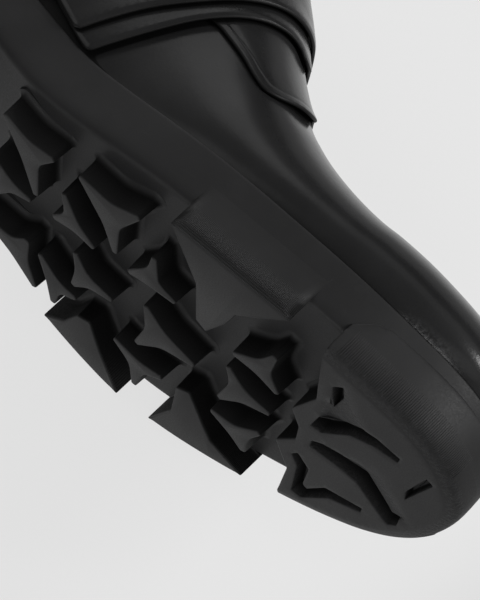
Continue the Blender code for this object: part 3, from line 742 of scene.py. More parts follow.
last = {
    "rows": (   # y, ridge x, ridge z, fullness, bulge, lean
        (0.0, 0.0, 146.0, 5.5, 2.5, 7.0),
        (60.0, 0.0, 146.0, 5.0, 1.5, 7.0),
        (92.0, 1.5, 143.0, 4.0, 1.0, 6.0),
        (108.0, 3.0, 132.0, 3.0, 0.8, 4.0),
        (120.0, 4.0, 121.0, 2.6, 0.6, 2.0),
        (135.0, 5.0, 107.0, 2.4, 0.4, 1.0),
        (150.0, 5.5, 92.0, 2.3, 0.6, 0.0),
        (168.0, 6.0, 74.7, 2.25, 1.0, 0.0),
        (180.0, 6.0, 65.6, 2.2, 1.4, 0.0),
        (190.0, 6.0, 60.0, 2.2, 1.8, 0.0),
        (202.0, 6.0, 55.9, 2.25, 2.2, 0.0),
        (216.0, 6.0, 53.1, 2.35, 2.5, 0.0),
        (228.0, 6.0, 52.8, 2.45, 2.7, 0.0),
        (242.0, 6.0, 50.2, 2.45, 2.8, 0.0),
    ),
    "fanToe": 222.0,        # ribs in front of this line fan round the toe
    "fanHeel": 46.0,        # and behind this one round the heel
    "fanShare": 0.32,
    "bulgeHeight": 11.0,    # the wall swells most at this height above the seat
    "leanHeight": 60.0,
    "dent": (178.5, 60.0, 6.0, 1.7),   # y, z, reach and depth of the hollow below the facing's tip
    "step": 0.004,          # how far apart the points lie that give a normal
    "ridgeBlend": (0.03, 0.012),   # normals are evened out within the first, from those at the second
}
lastCurve = smoothCurve(last["rows"], 24)
upperOutline = Outline(shoe["ledge"])


def lastPoints(tau, s):   # tau from heel 0 to toe 1, s from the inner edge 1 over the ridge to -1
    tau, s = np.broadcast_arrays(np.asarray(tau, float), np.asarray(s, float))
    past = (tau > 1.0) | (tau < 0.0)
    tau = np.where(tau > 1.0, 2.0 - tau, np.abs(tau))
    s = np.where(past, -s, s)
    share = (1.0 - np.cos(np.pi * tau)) / 2.0
    footY = upperOutline.heel + (upperOutline.toe - upperOutline.heel) * share
    footX = np.where(s >= 0.0, upperOutline.edge(1, footY), upperOutline.edge(-1, footY))
    fanY = np.clip(footY, last["fanHeel"], last["fanToe"])
    ridgeY = fanY + (footY - fanY) * last["fanShare"]
    ridgeX, ridgeZ, full, bulge, lean = [np.interp(ridgeY, lastCurve[:, 0], lastCurve[:, k])
                                         for k in range(1, 6)]
    ridgeZ = ridgeZ + spring(ridgeY)
    footZ = seatHeight(footY) + shoe["fitGap"]
    angle = (1.0 - np.abs(s)) ** (full / 2.0) * np.pi / 2.0
    out = np.cos(angle) ** (2.0 / full)
    height = np.sin(angle) ** (2.0 / full) * (ridgeZ - footZ)
    across = np.stack([footX - ridgeX, footY - ridgeY], axis=-1)
    reach = np.linalg.norm(across, axis=-1)
    swell = bulge * height / last["bulgeHeight"] * np.exp(1.0 - height / last["bulgeHeight"])
    tilt = lean * (height / last["leanHeight"]) ** 1.5 * out
    across = across * ((reach * out + swell * out - tilt) / reach)[..., None]
    points = np.stack([ridgeX + across[..., 0], ridgeY + across[..., 1], footZ + height], axis=-1)
    points[..., 0] -= dentDepth(points) * (s > 0.0)
    return points


def dentDepth(points):
    y, z, reach, depth = last["dent"]
    return depth * np.exp(-((points[..., 1] - y) ** 2 + (points[..., 2] - z) ** 2) / reach ** 2)


def normalised(vectors):
    return vectors / (np.linalg.norm(vectors, axis=-1)[..., None] + 1e-12)


def lastNormals(tau, s):
    step = last["step"]
    ahead = np.where(s >= 0.0, np.minimum(s + step, 1.0), np.minimum(s + step, 0.0))
    back = np.where(s >= 0.0, np.maximum(s - step, 0.0), np.maximum(s - step, -1.0))
    across = lastPoints(tau, ahead) - lastPoints(tau, back)
    along = lastPoints(tau + step, s) - lastPoints(tau - step, s)
    normal = normalised(np.cross(across, along))
    foot = np.abs(s)[..., None] > 0.999
    level = normalised(normal * np.array([1.0, 1.0, 0.0]))
    return np.where(foot, level, normal)


def skinNormals(tau, s):   # evened out where the ridge's two halves meet
    reach, beside = last["ridgeBlend"]
    blend = np.clip(1.0 - np.abs(s) / reach, 0.0, 1.0)[..., None]
    ridge = lastNormals(tau, np.full_like(s, beside)) + lastNormals(tau, np.full_like(s, -beside))
    return normalised(lastNormals(tau, s) * (1.0 - blend) + normalised(ridge) * blend)


class Patch:   # a piece of the last's surface as tau and s at each corner
    def __init__(self, taus, sides):
        count = len(sides)
        self.params = np.array([(t, s) for t in taus for s in sides])
        self.faces = [(a * count + b, (a + 1) * count + b, (a + 1) * count + b + 1, a * count + b + 1)
                      for a in range(len(taus) - 1) for b in range(count - 1)]

    def points(self, offset, params=None):
        tau, s = (self.params if params is None else params).T
        return lastPoints(tau, s) + skinNormals(tau, s) * offset

    def cut(self, field, offset=0.0, keepBoth=False):   # keeps what has a field above 0
        value = field(self.points(offset))
        value[np.abs(value) < meshing["snap"]] = 0.0
        base, cuts, faces = len(self.params), {}, []
        for face in self.faces:
            signs = value[list(face)]
            if signs.min() >= 0.0 or signs.max() <= 0.0:
                if keepBoth or signs.max() > 0.0:
                    faces.append(face)
                continue
            over, under = [], []
            for a, b in zip(face, face[1:] + face[:1]):
                if value[a] >= 0.0:
                    over.append(a)
                if value[a] <= 0.0:
                    under.append(a)
                if value[a] * value[b] < 0.0:
                    corner = base + cuts.setdefault((min(a, b), max(a, b)), len(cuts))
                    over.append(corner)
                    under.append(corner)
            faces.append(tuple(over))
            if keepBoth:
                faces.append(tuple(under))
        self.faces = [face for face in faces if len(face) > 2]
        if not cuts:
            return self.compact()
        ends = np.array(list(cuts))
        low, high = self.params[ends[:, 0]].copy(), self.params[ends[:, 1]].copy()
        lowSign = np.sign(value[ends[:, 0]])
        for _ in range(meshing["halvings"]):
            middle = (low + high) / 2.0
            same = np.sign(field(self.points(offset, middle))) == lowSign
            low = np.where(same[:, None], middle, low)
            high = np.where(same[:, None], high, middle)
        self.params = np.concatenate([self.params, (low + high) / 2.0])
        return self.compact()

    def compact(self):   # forgets the corners that no face uses
        used = sorted({k for face in self.faces for k in face})
        place = dict(zip(used, range(len(used))))
        self.params = self.params[used]
        self.faces = [tuple(place[k] for k in face) for face in self.faces]
        return self


def regionField(polygon, axes=(1, 2)):   # signed distance inside an outline in side view or plan
    start = np.array(polygon, float)
    end = np.roll(start, -1, axis=0)
    run = end - start
    length = np.sum(run * run, axis=1)

    def field(points):
        p = points[:, axes]
        best = np.full(len(p), 1e9)
        crossings = np.zeros(len(p), int)
        for (x0, y0), (x1, y1), (dx, dy), squared in zip(start, end, run, length):
            t = np.clip(((p[:, 0] - x0) * dx + (p[:, 1] - y0) * dy) / max(squared, 1e-12), 0.0, 1.0)
            best = np.minimum(best, np.hypot(p[:, 0] - x0 - t * dx, p[:, 1] - y0 - t * dy))
            if y0 != y1:
                spans = (y0 > p[:, 1]) != (y1 > p[:, 1])
                crossings += spans & (p[:, 0] < dx * (p[:, 1] - y0) / dy + x0)
        return np.where(crossings % 2 == 1, best, -best)

    return field


def flatSheet(patch):   # the patch on the last itself, and tau and s of its corners
    flat = bmesh.new()
    tag = flat.verts.layers.float_vector.new("param")
    verts = [flat.verts.new(p) for p in patch.points(0.0)]
    for vert, (tau, s) in zip(verts, patch.params):
        vert[tag] = (tau, s, 0.0)
    for face in patch.faces:
        if len(set(face)) == len(face):
            flat.faces.new([verts[k] for k in face])
    bmesh.ops.delete(flat, geom=[v for v in flat.verts if not v.link_faces], context="VERTS")
    bmesh.ops.remove_doubles(flat, verts=flat.verts, dist=meshing["weld"])
    bmesh.ops.recalc_face_normals(flat, faces=flat.faces)
    flat.verts.index_update()
    return flat, np.array([v[tag][:2] for v in flat.verts])


def rimWays(border, normal):   # at each corner of a sheet's border, the way out of the sheet
    ways = {}
    for edge in border:
        face = edge.link_faces[0]
        ahead = (edge.verts[1].co - edge.verts[0].co).normalized()
        away = (edge.verts[0].co + edge.verts[1].co) / 2.0 - face.calc_center_median()
        away -= ahead * away.dot(ahead)
        for vert in edge.verts:
            n = Vector(normal[vert.index])
            side = (away - n * away.dot(n)).normalized()
            ways[vert.index] = ways.get(vert.index, Vector()) + side
    return {k: way.normalized() for k, way in ways.items()}


def addSheet(bm, patch, outer, inner, rimRows=6, rimReach=0.8):   # closed sheet with a round rim
    edgeTag = bm.verts.layers.float.get("edge") or bm.verts.layers.float.new("edge")
    flat, params = flatSheet(patch)
    base = np.array([v.co for v in flat.verts])
    normal = skinNormals(params[:, 0], params[:, 1])
    high = outer(base, params) if callable(outer) else np.full(len(base), outer)
    low = inner(base, params) if callable(inner) else np.full(len(base), inner)
    first = next(iter(flat.faces))
    turned = first.normal.dot(Vector(normal[first.verts[0].index])) < 0.0
    top = [bm.verts.new(p) for p in base + normal * high[:, None]]
    bottom = [bm.verts.new(p) for p in base + normal * low[:, None]]
    for face in flat.faces:
        ring = [v.index for v in face.verts][::-1 if turned else 1]
        bm.faces.new([top[k] for k in ring])
        bm.faces.new([bottom[k] for k in reversed(ring)])
    border = [e for e in flat.edges if len(e.link_faces) == 1]
    rims = {}
    for k, way in rimWays(border, normal).items():
        n = Vector(normal[k])
        middle = (top[k].co + bottom[k].co) / 2.0
        half = (high[k] - low[k]) / 2.0
        column = [top[k]]
        for step in range(1, rimRows):
            turn = math.pi * (0.5 - step / rimRows)
            swing = way * math.cos(turn) * min(half, rimReach)
            column.append(bm.verts.new(middle + n * math.sin(turn) * half + swing))
            column[-1][edgeTag] = 1.0
        rims[k] = column + [bottom[k]]
    for edge in border:
        a, b = (v.index for v in edge.verts)
        for step in range(rimRows):
            bm.faces.new((rims[a][step], rims[a][step + 1], rims[b][step + 1], rims[b][step]))
    flat.free()


def sideCounts(count):   # s from the inner foot over the ridge to the outer foot
    return np.linspace(1.0, -1.0, 2 * count + 1)


upper = {
    "ribs": 200,
    "sides": 52,
    "tipTaus": (0.55, 0.63, 33),       # finer grid at the facing's tip
    "tipSides": (0.06, 0.44, 39),
    "quarterStep": 1.3,
    "quarterGap": 0.12,
    "quarterCut": 1.0,         # how far off the last the quarter's edge is drawn
    "dentFollow": 0.7,         # how much of the dent the quarters bridge
    "leather": 1.2,
    "lining": 0.8,
    "liningGrid": (120, 36),
    "liningGap": 0.02,
    "liningDrop": 1.0,         # the lining ends this far below the top line
    "throatHalf": 6.0,
    "throatPoint": 174.0,
    "throatBack": 40.0,
    "throatFlare": 4.5,        # each side of the slot stands this much further out at its back
    "throatRadius": 5.0,
    "throatLow": 50.0,         # below this height the slot cuts nothing
    "ridgeAt": 150.0,          # the slot and the tongue lie on the ridge of this y
    "topLine": ((150.0, 122.0), (128.0, 119.0), (116.0, 112.0), (104.0, 103.5), (90.0, 97.0), (72.0, 93.5),
                (52.0, 95.0), (32.0, 101.0), (14.0, 107.0), (-10.0, 110.0)),
    "quarterEdge": ((90.0, 10.0), (104.0, 34.0), (118.0, 50.0), (132.0, 58.5), (144.5, 60.0), (151.0, 58.6),
                    (158.0, 56.4), (164.5, 53.7), (169.0, 52.6), (173.0, 54.3), (176.8, 58.9), (178.2, 60.7),
                    (178.9, 62.5), (178.9, 64.1), (177.7, 66.5), (175.4, 70.2), (170.0, 80.0),
                    (164.0, 100.0)),
    "bead": (   # distance behind the quarter's edge, lift
        (-9.0, 0.0), (0.0, 0.0), (1.3, 0.06), (1.8, -0.16), (2.2, -0.16), (2.8, 0.0), (99.0, 0.0),
    ),
    "beadCuts": (0.6, 1.3, 1.6, 2.0, 2.4, 2.8),
    "beadFade": ((160.0, 1.0), (172.0, 0.3)),     # y, how much of the bead is left
    "gapShade": ((96.0, 5.0), (108.0, 5.0), (120.0, 2.6), (128.0, 1.2), (140.0, -0.6)),   # painted shade in the gap under the straps' open ends: y, height
    "gapShadeFade": 1.2,
    "shade": (0.8, 0.9, 1.5),  # the painted shade's reach at the quarters, its growth at the dent, reach at a strap
    "shadeLift": 1.0,          # the painted shade is drawn this far above the leather
}


def topLineField(rise=0.0):   # above 0 below the top line; closed far outside the shoe
    curve = smoothCurve(upper["topLine"], 16)
    below = [(y, z + rise) for y, z in curve] + [(-60.0, -60.0), (320.0, -60.0), (320.0, 122.0 + rise)]
    return regionField(below)


def quarterField():   # above 0 behind the quarter's edge
    curve = [tuple(p) for p in smoothCurve(upper["quarterEdge"], 12)]
    return regionField(curve + [(200.0, 260.0), (-60.0, 260.0), (-60.0, -40.0), (curve[0][0], -40.0)])


def ridgeMiddle():
    return float(np.interp(upper["ridgeAt"], lastCurve[:, 0], lastCurve[:, 1]))


def throatField():   # above 0 outside the slot
    ridge, half = ridgeMiddle(), upper["throatHalf"]
    front, back, flare = upper["throatPoint"], upper["throatBack"], upper["throatFlare"]
    corners = [(ridge - half, front), (ridge + half, front),
               (ridge + half + flare, back), (ridge - half - flare, back)]
    slotField = regionField(roundCorners(corners, upper["throatRadius"], 8), axes=(0, 1))
    return lambda points: np.where(points[:, 2] > upper["throatLow"], -slotField(points), 1.0)


def gapShade(points):   # painted shade: how close the wall lies to the sole's edge under the straps' open ends
    width = np.interp(points[:, 1], *np.array(upper["gapShade"]).T)
    return 1.0 - (points[:, 2] - seatHeight(points[:, 1]) - width) / upper["gapShadeFade"]


def upperPatch(ribs, sides):
    return Patch(np.linspace(0.0, 1.0, ribs + 1), sideCounts(sides))


def makeUpper():
    patch = upperPatch(upper["ribs"], upper["sides"]).cut(topLineField()).cut(throatField())
    bm = bmesh.new()
    addSheet(bm, patch, 0.0, -upper["leather"])
    quarter, strap = quarterField(), underStrapField()
    reach, growth, strapReach = upper["shade"]

    # painted shade beside the quarter's edge, the under strap's edge and the sole's edge
    def closeness(points):
        beside = 1.0 + quarter(points) / (reach + growth * dentDepth(points))
        return np.maximum(np.maximum(beside, 1.0 + strap(points) / strapReach), gapShade(points))

    return markPaintedShade(pieceFrom(bm, "vamp"), closeness, upper["shadeLift"])


def makeQuarters():
    field = quarterField()
    taus = np.union1d(np.linspace(0.0, 1.0, upper["ribs"] + 1), np.linspace(*upper["tipTaus"]))
    sides = np.union1d(sideCounts(upper["sides"]), np.linspace(*upper["tipSides"]))[::-1]
    offset = upper["quarterCut"]
    patch = Patch(taus, sides).cut(field, offset)
    for distance in upper["beadCuts"]:
        patch.cut(lambda points: field(points) - distance, offset, keepBoth=True)
    patch.cut(topLineField()).cut(throatField())
    lift = np.array(upper["bead"]).T

    def stand(base, params):
        return upper["quarterGap"] + upper["dentFollow"] * dentDepth(base) * (params[:, 1] > 0.0)

    def face(base, params):
        bead = np.interp(field(base), *lift) * np.interp(base[:, 1], *np.array(upper["beadFade"]).T)
        return upper["quarterStep"] - upper["quarterGap"] + stand(base, params) + bead

    bm = bmesh.new()
    addSheet(bm, patch, face, stand)
    strap, strapReach = underStrapField(), upper["shade"][2]

    # painted shade beside the under strap's edge and the sole's edge
    def closeness(points):
        return np.maximum(1.0 + strap(points) / strapReach, gapShade(points))

    return markPaintedShade(pieceFrom(bm, "quarters"), closeness, upper["shadeLift"])


def makeLining():
    patch = upperPatch(*upper["liningGrid"]).cut(topLineField(-upper["liningDrop"])).cut(throatField())
    bm = bmesh.new()
    addSheet(bm, patch, -upper["leather"] - upper["liningGap"], -upper["leather"] - upper["lining"])
    return pieceFrom(bm, "lining")


stitching = {
    "rows": (3.0, 5.4),       # below the top line
    "spacing": 2.9,
    "length": 2.2,
    "thread": 0.3,
    "sides": 6,
    "section": ((-1.0, 0.35), (-0.8, 0.85), (0.0, 1.0), (0.8, 0.85), (1.0, 0.35)),   # share along, thickness
    "arch": 0.7,
    "sink": 0.12,
    "taus": (0.0, 0.62, 260),
    "besideRidge": 0.02,
    "halvings": 16,
}


def seamRoute(distance):   # along the top line, from the slot round the heel and back to the slot
    field = topLineField()
    offset = upper["quarterStep"]
    taus = np.linspace(*stitching["taus"])
    found = []
    for side in (1.0, -1.0):
        low, high = np.full(len(taus), side), np.full(len(taus), side * stitching["besideRidge"])

        def depth(s):
            return field(lastPoints(taus, s) + skinNormals(taus, s) * offset) - distance

        crossing = (depth(low) > 0.0) & (depth(high) < 0.0)
        for _ in range(stitching["halvings"]):
            middle = (low + high) / 2.0
            below = depth(middle) > 0.0
            low, high = np.where(below, middle, low), np.where(below, high, middle)
        s = (low + high) / 2.0
        normal = skinNormals(taus, s)
        places = lastPoints(taus, s) + normal * (offset - stitching["sink"])
        keep = crossing & (throatField()(places) > distance)
        found.append((places[keep], normal[keep]))
    (inner, innerOut), (outer, outerOut) = found
    places = np.concatenate([inner[::-1], outer[1:]])
    outs = np.concatenate([innerOut[::-1], outerOut[1:]])
    ahead = normalised(np.gradient(places, axis=0))
    return [tuple(map(tuple, row)) for row in zip(places, outs, ahead)]


def makeStitches(finish):
    thread, half = stitching["thread"], stitching["length"] / 2.0
    levels = []
    angles = [2.0 * math.pi * k / stitching["sides"] for k in range(stitching["sides"])]
    for share, size in stitching["section"]:
        lift = thread * (stitching["arch"] - share * share)
        levels.append([(share * half, math.cos(a) * thread * size, lift + math.sin(a) * thread * size)
                       for a in angles])
    stitch = unitFrom(levels, "stitch")
    return repeatAlong("top_line_stitches", [seamRoute(row) for row in stitching["rows"]], stitch,
                       stitching["spacing"], finish)


straps = {
    "endLift": ((108.0, 4.8), (120.0, 2.4), (128.0, 0.9)),   # y, open height above the sole's edge
    "endRadius": 1.6,
    "rows": (   # name, inner face, outer face, step to the rear edge, front edge in side view
        ("strap_under", 1.6, 3.0, (-17.4, 15.0),
         ((121.5, 12.0), (127.4, 26.5), (131.7, 36.0), (136.3, 45.7), (141.3, 55.5), (147.2, 64.4),
          (150.8, 68.9), (154.7, 72.9), (159.6, 76.7), (162.9, 77.6), (165.2, 77.2), (166.2, 77.9),
          (165.7, 79.6), (163.8, 82.2), (162.0, 86.0), (160.0, 96.0), (160.0, 126.0))),
        ("strap_top", 3.3, 4.8, (-18.7, 13.3),
         ((114.0, 9.0), (120.7, 27.3), (124.5, 36.5), (130.3, 48.5), (138.4, 60.6), (146.0, 71.2),
          (151.1, 77.4), (155.4, 82.0), (158.8, 85.1), (160.6, 86.8), (160.6, 88.7), (158.6, 91.4),
          (156.5, 95.5), (154.0, 106.0), (154.0, 140.0))),
    ),
    "grid": (0.28, 0.66, 130, 84),   # from heel to toe, ribs, sides
    "edge": ((-9.0, -0.35), (0.0, -0.3), (0.5, -0.1), (1.1, 0.0), (99.0, 0.0)),   # behind the rim, lift
    "edgeCuts": (0.5, 1.1),
    "edgeLift": (0.5, 5.0),          # the front edge stands this far off, over this reach
    "shadeLift": 1.2,
}


def roundedBoth(first, second, radius):   # inside both regions, the corner between them rounded
    a, b = np.minimum(first, radius), np.minimum(second, radius)
    corner = radius - np.hypot(radius - a, radius - b)
    return np.where((first < radius) & (second < radius), corner, np.minimum(first, second))


def strapField(back, front):
    line = smoothCurve(front, 12)
    band = regionField([*line, *(line + np.array(back))[::-1]])

    def field(points):
        lift = np.interp(points[:, 1], *np.array(straps["endLift"]).T)
        return roundedBoth(band(points), points[:, 2] - seatHeight(points[:, 1]) - lift, straps["endRadius"])

    return field


def underStrapField():
    return strapField(*straps["rows"][0][3:])


def makeStrap(name, inner, outer, back, front):
    field = strapField(back, front)
    line = smoothCurve(front, 12)
    frontOnly = regionField([*line, (60.0, 140.0), (60.0, -40.0), (line[0][0], -40.0)])   # all behind it
    tauLow, tauHigh, ribs, sides = straps["grid"]
    patch = Patch(np.linspace(tauLow, tauHigh, ribs), sideCounts(sides)).cut(field, outer)
    for distance in straps["edgeCuts"]:
        patch.cut(lambda points: field(points) - distance, outer, keepBoth=True)
    roll = np.array(straps["edge"]).T
    rise, reach = straps["edgeLift"]

    def lift(base, params):
        return rise * np.exp(-(frontOnly(base + skinNormals(*params.T) * outer) / reach) ** 2)

    def face(base, params):
        place = base + skinNormals(*params.T) * outer
        return outer + np.interp(field(place), *roll) + lift(base, params)

    bm = bmesh.new()
    addSheet(bm, patch, face, lambda base, params: inner + lift(base, params))
    piece = pieceFrom(bm, name + "_leather")
    over = straps["rows"][-1]
    if over[0] == name:
        return piece
    # painted shade on the under strap beside the top strap's edge
    cover = strapField(*over[3:])
    return markPaintedShade(piece, lambda points: 1.0 + cover(points) / upper["shade"][2], straps["shadeLift"])


tongue = {
    "thick": 2.4,
    "rise": 12.0,
    "plan": ((14.0, 190.0), (19.0, 184.0), (24.0, 150.0), (24.0, 60.0)),   # half width, y
    "cornerRadius": 6.0,
    "low": 60.0,               # it has nothing below this height
    "grid": (0.3, 0.72, 110),
    "sides": 60,
    "rim": 1.2,
}


def makeTongue():
    ridge = ridgeMiddle()
    outline = [(ridge + x, y) for x, y in tongue["plan"]] + [(ridge - x, y) for x, y in tongue["plan"][::-1]]
    strip = regionField(roundCorners(outline, tongue["cornerRadius"], 8), axes=(0, 1))
    outside = -upper["leather"] - upper["lining"] - shoe["fitGap"]
    patch = Patch(np.linspace(*tongue["grid"]), sideCounts(tongue["sides"]))
    patch.cut(lambda points: points[:, 2] - tongue["low"], outside)
    patch.cut(strip, outside).cut(topLineField(tongue["rise"]), outside)
    bm = bmesh.new()
    addSheet(bm, patch, outside, outside - tongue["thick"], rimReach=tongue["rim"])
    return pieceFrom(bm, "tongue_leather")


insole = {
    "inset": 5.4,
    "stations": 90,
    "side": (   # height above its seat, inset
        (0.0, 0.35), (0.4, 0.0), (2.2, 0.0), (2.7, 0.2), (2.95, 0.6), (3.0, 1.2), (3.0, 5.0),
    ),
}


def makeInsole():
    rows = [(lift, insole["inset"] + inset) for lift, inset in insole["side"]]
    bm = slab(rows, stationShares(insole["stations"]),
              lambda y, lift: seatHeight(y) + shoe["fitGap"] + lift)
    return pieceFrom(bm, "footbed")


view = {
    "aim": (0.0, 190.0, 15.0),
    "right": (0.102, 0.741, 0.664),
    "up": (0.479, -0.622, 0.619),
    "distance": 1100.0,
    "frameHeight": 163.49,         # what the frame's height takes in at the aim point
    "aimInFrame": (-6.81, 0.38),   # the aim point sits this far right of and above the middle
    "sensor": 24.0,
    "clipStart": 0.05,
}


def setCamera():
    right = Vector(view["right"]).normalized()
    up = Vector(view["up"])
    up = (up - up.dot(right) * right).normalized()
    back = right.cross(up)
    place = Vector(view["aim"]) + back * view["distance"]
    dx, dy = view["aimInFrame"]
    middle = Vector(view["aim"]) - right * dx - up * dy
    backAxis = (place - middle).normalized()
    rightAxis = up.cross(backAxis).normalized()
    upAxis = backAxis.cross(rightAxis)
    turn = layDown.to_3x3().normalized()
    axes = Matrix([turn @ rightAxis, turn @ upAxis, turn @ backAxis]).transposed().to_4x4()
    data = bpy.data.cameras.new("camera")
    data.sensor_fit = "VERTICAL"
    data.sensor_height = view["sensor"]
    data.lens = view["distance"] * view["sensor"] / view["frameHeight"]
    data.clip_start = view["clipStart"]
    camera = placed("camera", data)
    camera.matrix_world = Matrix.Translation(layDown @ place) @ axes
    bpy.context.scene.camera = camera
    bpy.context.scene.view_settings.view_transform = "Standard"


class Wire:   # a shader socket; arithmetic on it adds Math nodes
    def __init__(self, tree, socket=None):
        self.tree = tree
        self.socket = socket

    def add(self, kind, settings=None, inputs=None, output=0):
        node = self.tree.nodes.new(kind)
        for key, value in (settings or {}).items():
            if key == "stops":
                ramp = node.color_ramp.elements
                while len(ramp) < len(value):
                    ramp.new(1.0)
                for stop, (position, colour) in zip(ramp, value):
                    stop.position = position
                    stop.color = (*colour, 1.0)
            else:
                setattr(node, key, value)
        for key, value in (inputs or {}).items():
            if isinstance(value, Wire):
                self.tree.links.new(value.socket, node.inputs[key])
            else:
                node.inputs[key].default_value = value
        return Wire(self.tree, node.outputs[output])

    def maths(self, operation, *values):
        return self.add("ShaderNodeMath", {"operation": operation}, dict(enumerate(values)))

    def __add__(self, other):
        return self.maths("ADD", self, other)

    def __sub__(self, other):
        return self.maths("SUBTRACT", self, other)

    def __rsub__(self, other):
        return self.maths("SUBTRACT", other, self)

    def __mul__(self, other):
        return self.maths("MULTIPLY", self, other)

    __radd__ = __add__
    __rmul__ = __mul__

    def sine(self):
        return self.maths("SINE", self)

    def length(self):
        return self.add("ShaderNodeVectorMath", {"operation": "LENGTH"}, {0: self}, 1)

    def between(self, low, high):   # 0 below low to 1 above high, smoothly
        return self.add("ShaderNodeMapRange", {"interpolation_type": "SMOOTHSTEP"},
                        {"Value": self, "From Min": low, "From Max": high})

    def colours(self, first, second):   # a colour mixed by this socket
        return self.add("ShaderNodeMix", {"data_type": "RGBA"}, {0: self, 6: first, 7: second}, 2)

    def part(self, axis):
        return self.add("ShaderNodeSeparateXYZ", None, {0: self}, axis)

    def stretched(self, *scale):   # a place whose pattern is drawn out along the axes of small scale
        return self.add("ShaderNodeMapping", None, {"Vector": self, "Scale": scale})

    def noise(self, perMm, detail=2.0, rough=0.5):
        return self.add("ShaderNodeTexNoise", None,
                        {"Vector": self, "Scale": perMm, "Detail": detail, "Roughness": rough})

    def cells(self, perMm):
        return self.add("ShaderNodeTexVoronoi", None, {"Vector": self, "Scale": perMm})

    def bump(self):   # the socket is a height in metres
        return self.add("ShaderNodeBump", None, {"Height": self, "Distance": 1.0, "Strength": 1.0})


def grey(value, blue=1.02):
    return (value, value, value * blue, 1.0)


class Finish:   # a material with its Principled shader and the places its patterns read
    def __init__(self, name, **constants):
        self.material = bpy.data.materials.new(name)
        self.material.use_nodes = True
        self.tree = self.material.node_tree
        self.shader = self.tree.nodes["Principled BSDF"]
        for socket, value in constants.items():
            self.shader.inputs[socket.replace("_", " ")].default_value = value
        self.wire = Wire(self.tree)
        self.place = self.wire.add("ShaderNodeAttribute", {"attribute_name": "upright"}, None, 1)

    def tag(self, name):   # a number kept on the mesh's corners
        return self.wire.add("ShaderNodeAttribute", {"attribute_name": name}, None, 2)

    def feed(self, **sockets):
        for socket, value in sockets.items():
            self.tree.links.new(value.socket, self.shader.inputs[socket.replace("_", " ")])
        return self.material


rubber = {
    "dark": 0.0115,
    "light": 0.0165,
    "wornAndSheen": 0.024,
    "roughness": (0.5, 0.62),
    "specular": 0.15,
    "patches": (0.05, 4.0, 0.6),     # patterns: waves per millimetre, detail, roughness
    "grain": (1.9, 3.0, 0.6),
    "wrinkles": (0.85, 3.0, 0.7),
    "scratches": (1.1, 2.0),
    "sheenUp": (0.05, 0.5),           # painted sheen on the toe lug's foot from here
    "sheenTop": (1.9, 3.4),           # up to here
    "sheenFrom": (231.0, 236.0),      # and in front of this y
    "knurlPitch": 0.62,
    "knurl": 0.00016,
    "knurlHighlight": 0.034,                # painted highlight on the tops of the knurl
    "deep": 0.0015,                  # colour of the painted shade on the walls between the lugs
    "relief": 0.00003,
}


def soleRubber():
    finish = Finish("soleRubber", Specular_IOR_Level=rubber["specular"])
    place = finish.place
    height = place.part(2)
    patches = place.noise(*rubber["patches"])
    grain = place.noise(*rubber["grain"])
    scratches = place.stretched(1.0, 0.12, 0.5).noise(*rubber["scratches"]).between(0.66, 0.74)
    tone = patches.between(0.3, 0.72) * 0.75 + grain.between(0.35, 0.7) * 0.25
    base = tone.colours(grey(rubber["dark"]), grey(rubber["light"]))
    # painted sheen along the toe lug's foot, mixed with scratches that are wear
    foot = height.between(*rubber["sheenUp"]) * (1.0 - height.between(*rubber["sheenTop"]))
    toe = place.part(1).between(*rubber["sheenFrom"])
    wrinkles = place.stretched(1.0, 1.0, 0.5).noise(*rubber["wrinkles"]).between(0.42, 0.62)
    wearAndSheen = foot * toe * (wrinkles * 0.55 + 0.1) + scratches * 0.12
    colour = wearAndSheen.colours(base, grey(rubber["wornAndSheen"]))
    turn = 2.0 * math.pi / (rubber["knurlPitch"] * math.sqrt(2.0))
    along = place.part(1) * turn
    up = height * turn
    knurl = (along + up).sine() * (along - up).sine() * finish.tag("knurl") * height.between(0.04, 0.5)
    # painted highlight on the knurl's tops
    colour = knurl.between(0.1, 0.7).colours(colour, grey(rubber["knurlHighlight"]))
    ripple = foot * toe * wrinkles * 0.6
    # painted shade on the lug walls
    deep = finish.tag("deep")
    colour = deep.colours(colour, grey(rubber["deep"]))
    relief = grain * 0.5 + patches * 0.3 - scratches * 0.4
    normal = (relief * rubber["relief"] + (knurl + ripple) * rubber["knurl"]).bump()
    low, high = rubber["roughness"]
    surface = low + (high - low) * grain.between(0.3, 0.7) + deep * 0.3
    return finish.feed(Base_Color=colour, Roughness=surface, Normal=normal)


leathers = {   # each leather's dark and light colour, edge paint, roughness, polish and grain relief
    "upperLeather": (0.0095, 0.0135, 0.003, 0.22, 0.1, 0.000020),
    "facingLeather": (0.0095, 0.0135, 0.003, 0.22, 0.1, 0.000020),
    "strapLeather": (0.0080, 0.0120, 0.003, 0.22, 0.1, 0.000024),
    "tongueLeather": (0.0100, 0.0150, 0.018, 0.42, 0.03, 0.000040),
    "specular": 0.15,
    "polishRoughness": 0.2,
    "pores": 1.25,
    "wrinkles": (0.34, 4.0, 0.6),
    "clouds": (0.028, 3.0, 0.55),
    "crease": 0.0008,              # colour of the painted shade beside an edge
    "toeHighlight": 0.06,                 # colour of the painted highlight where the toe meets the sole's inner edge
    "toeHighlightGrain": (0.9, 4.0, 0.75),
    "toeHighlightFrom": (238.0, 246.0),
    "toeHighlightTo": (252.0, 262.0),
    "toeHighlightInner": (20.0, 30.0),
    "toeHighlightTop": (22.5, 27.0),      # height above the tread line
}


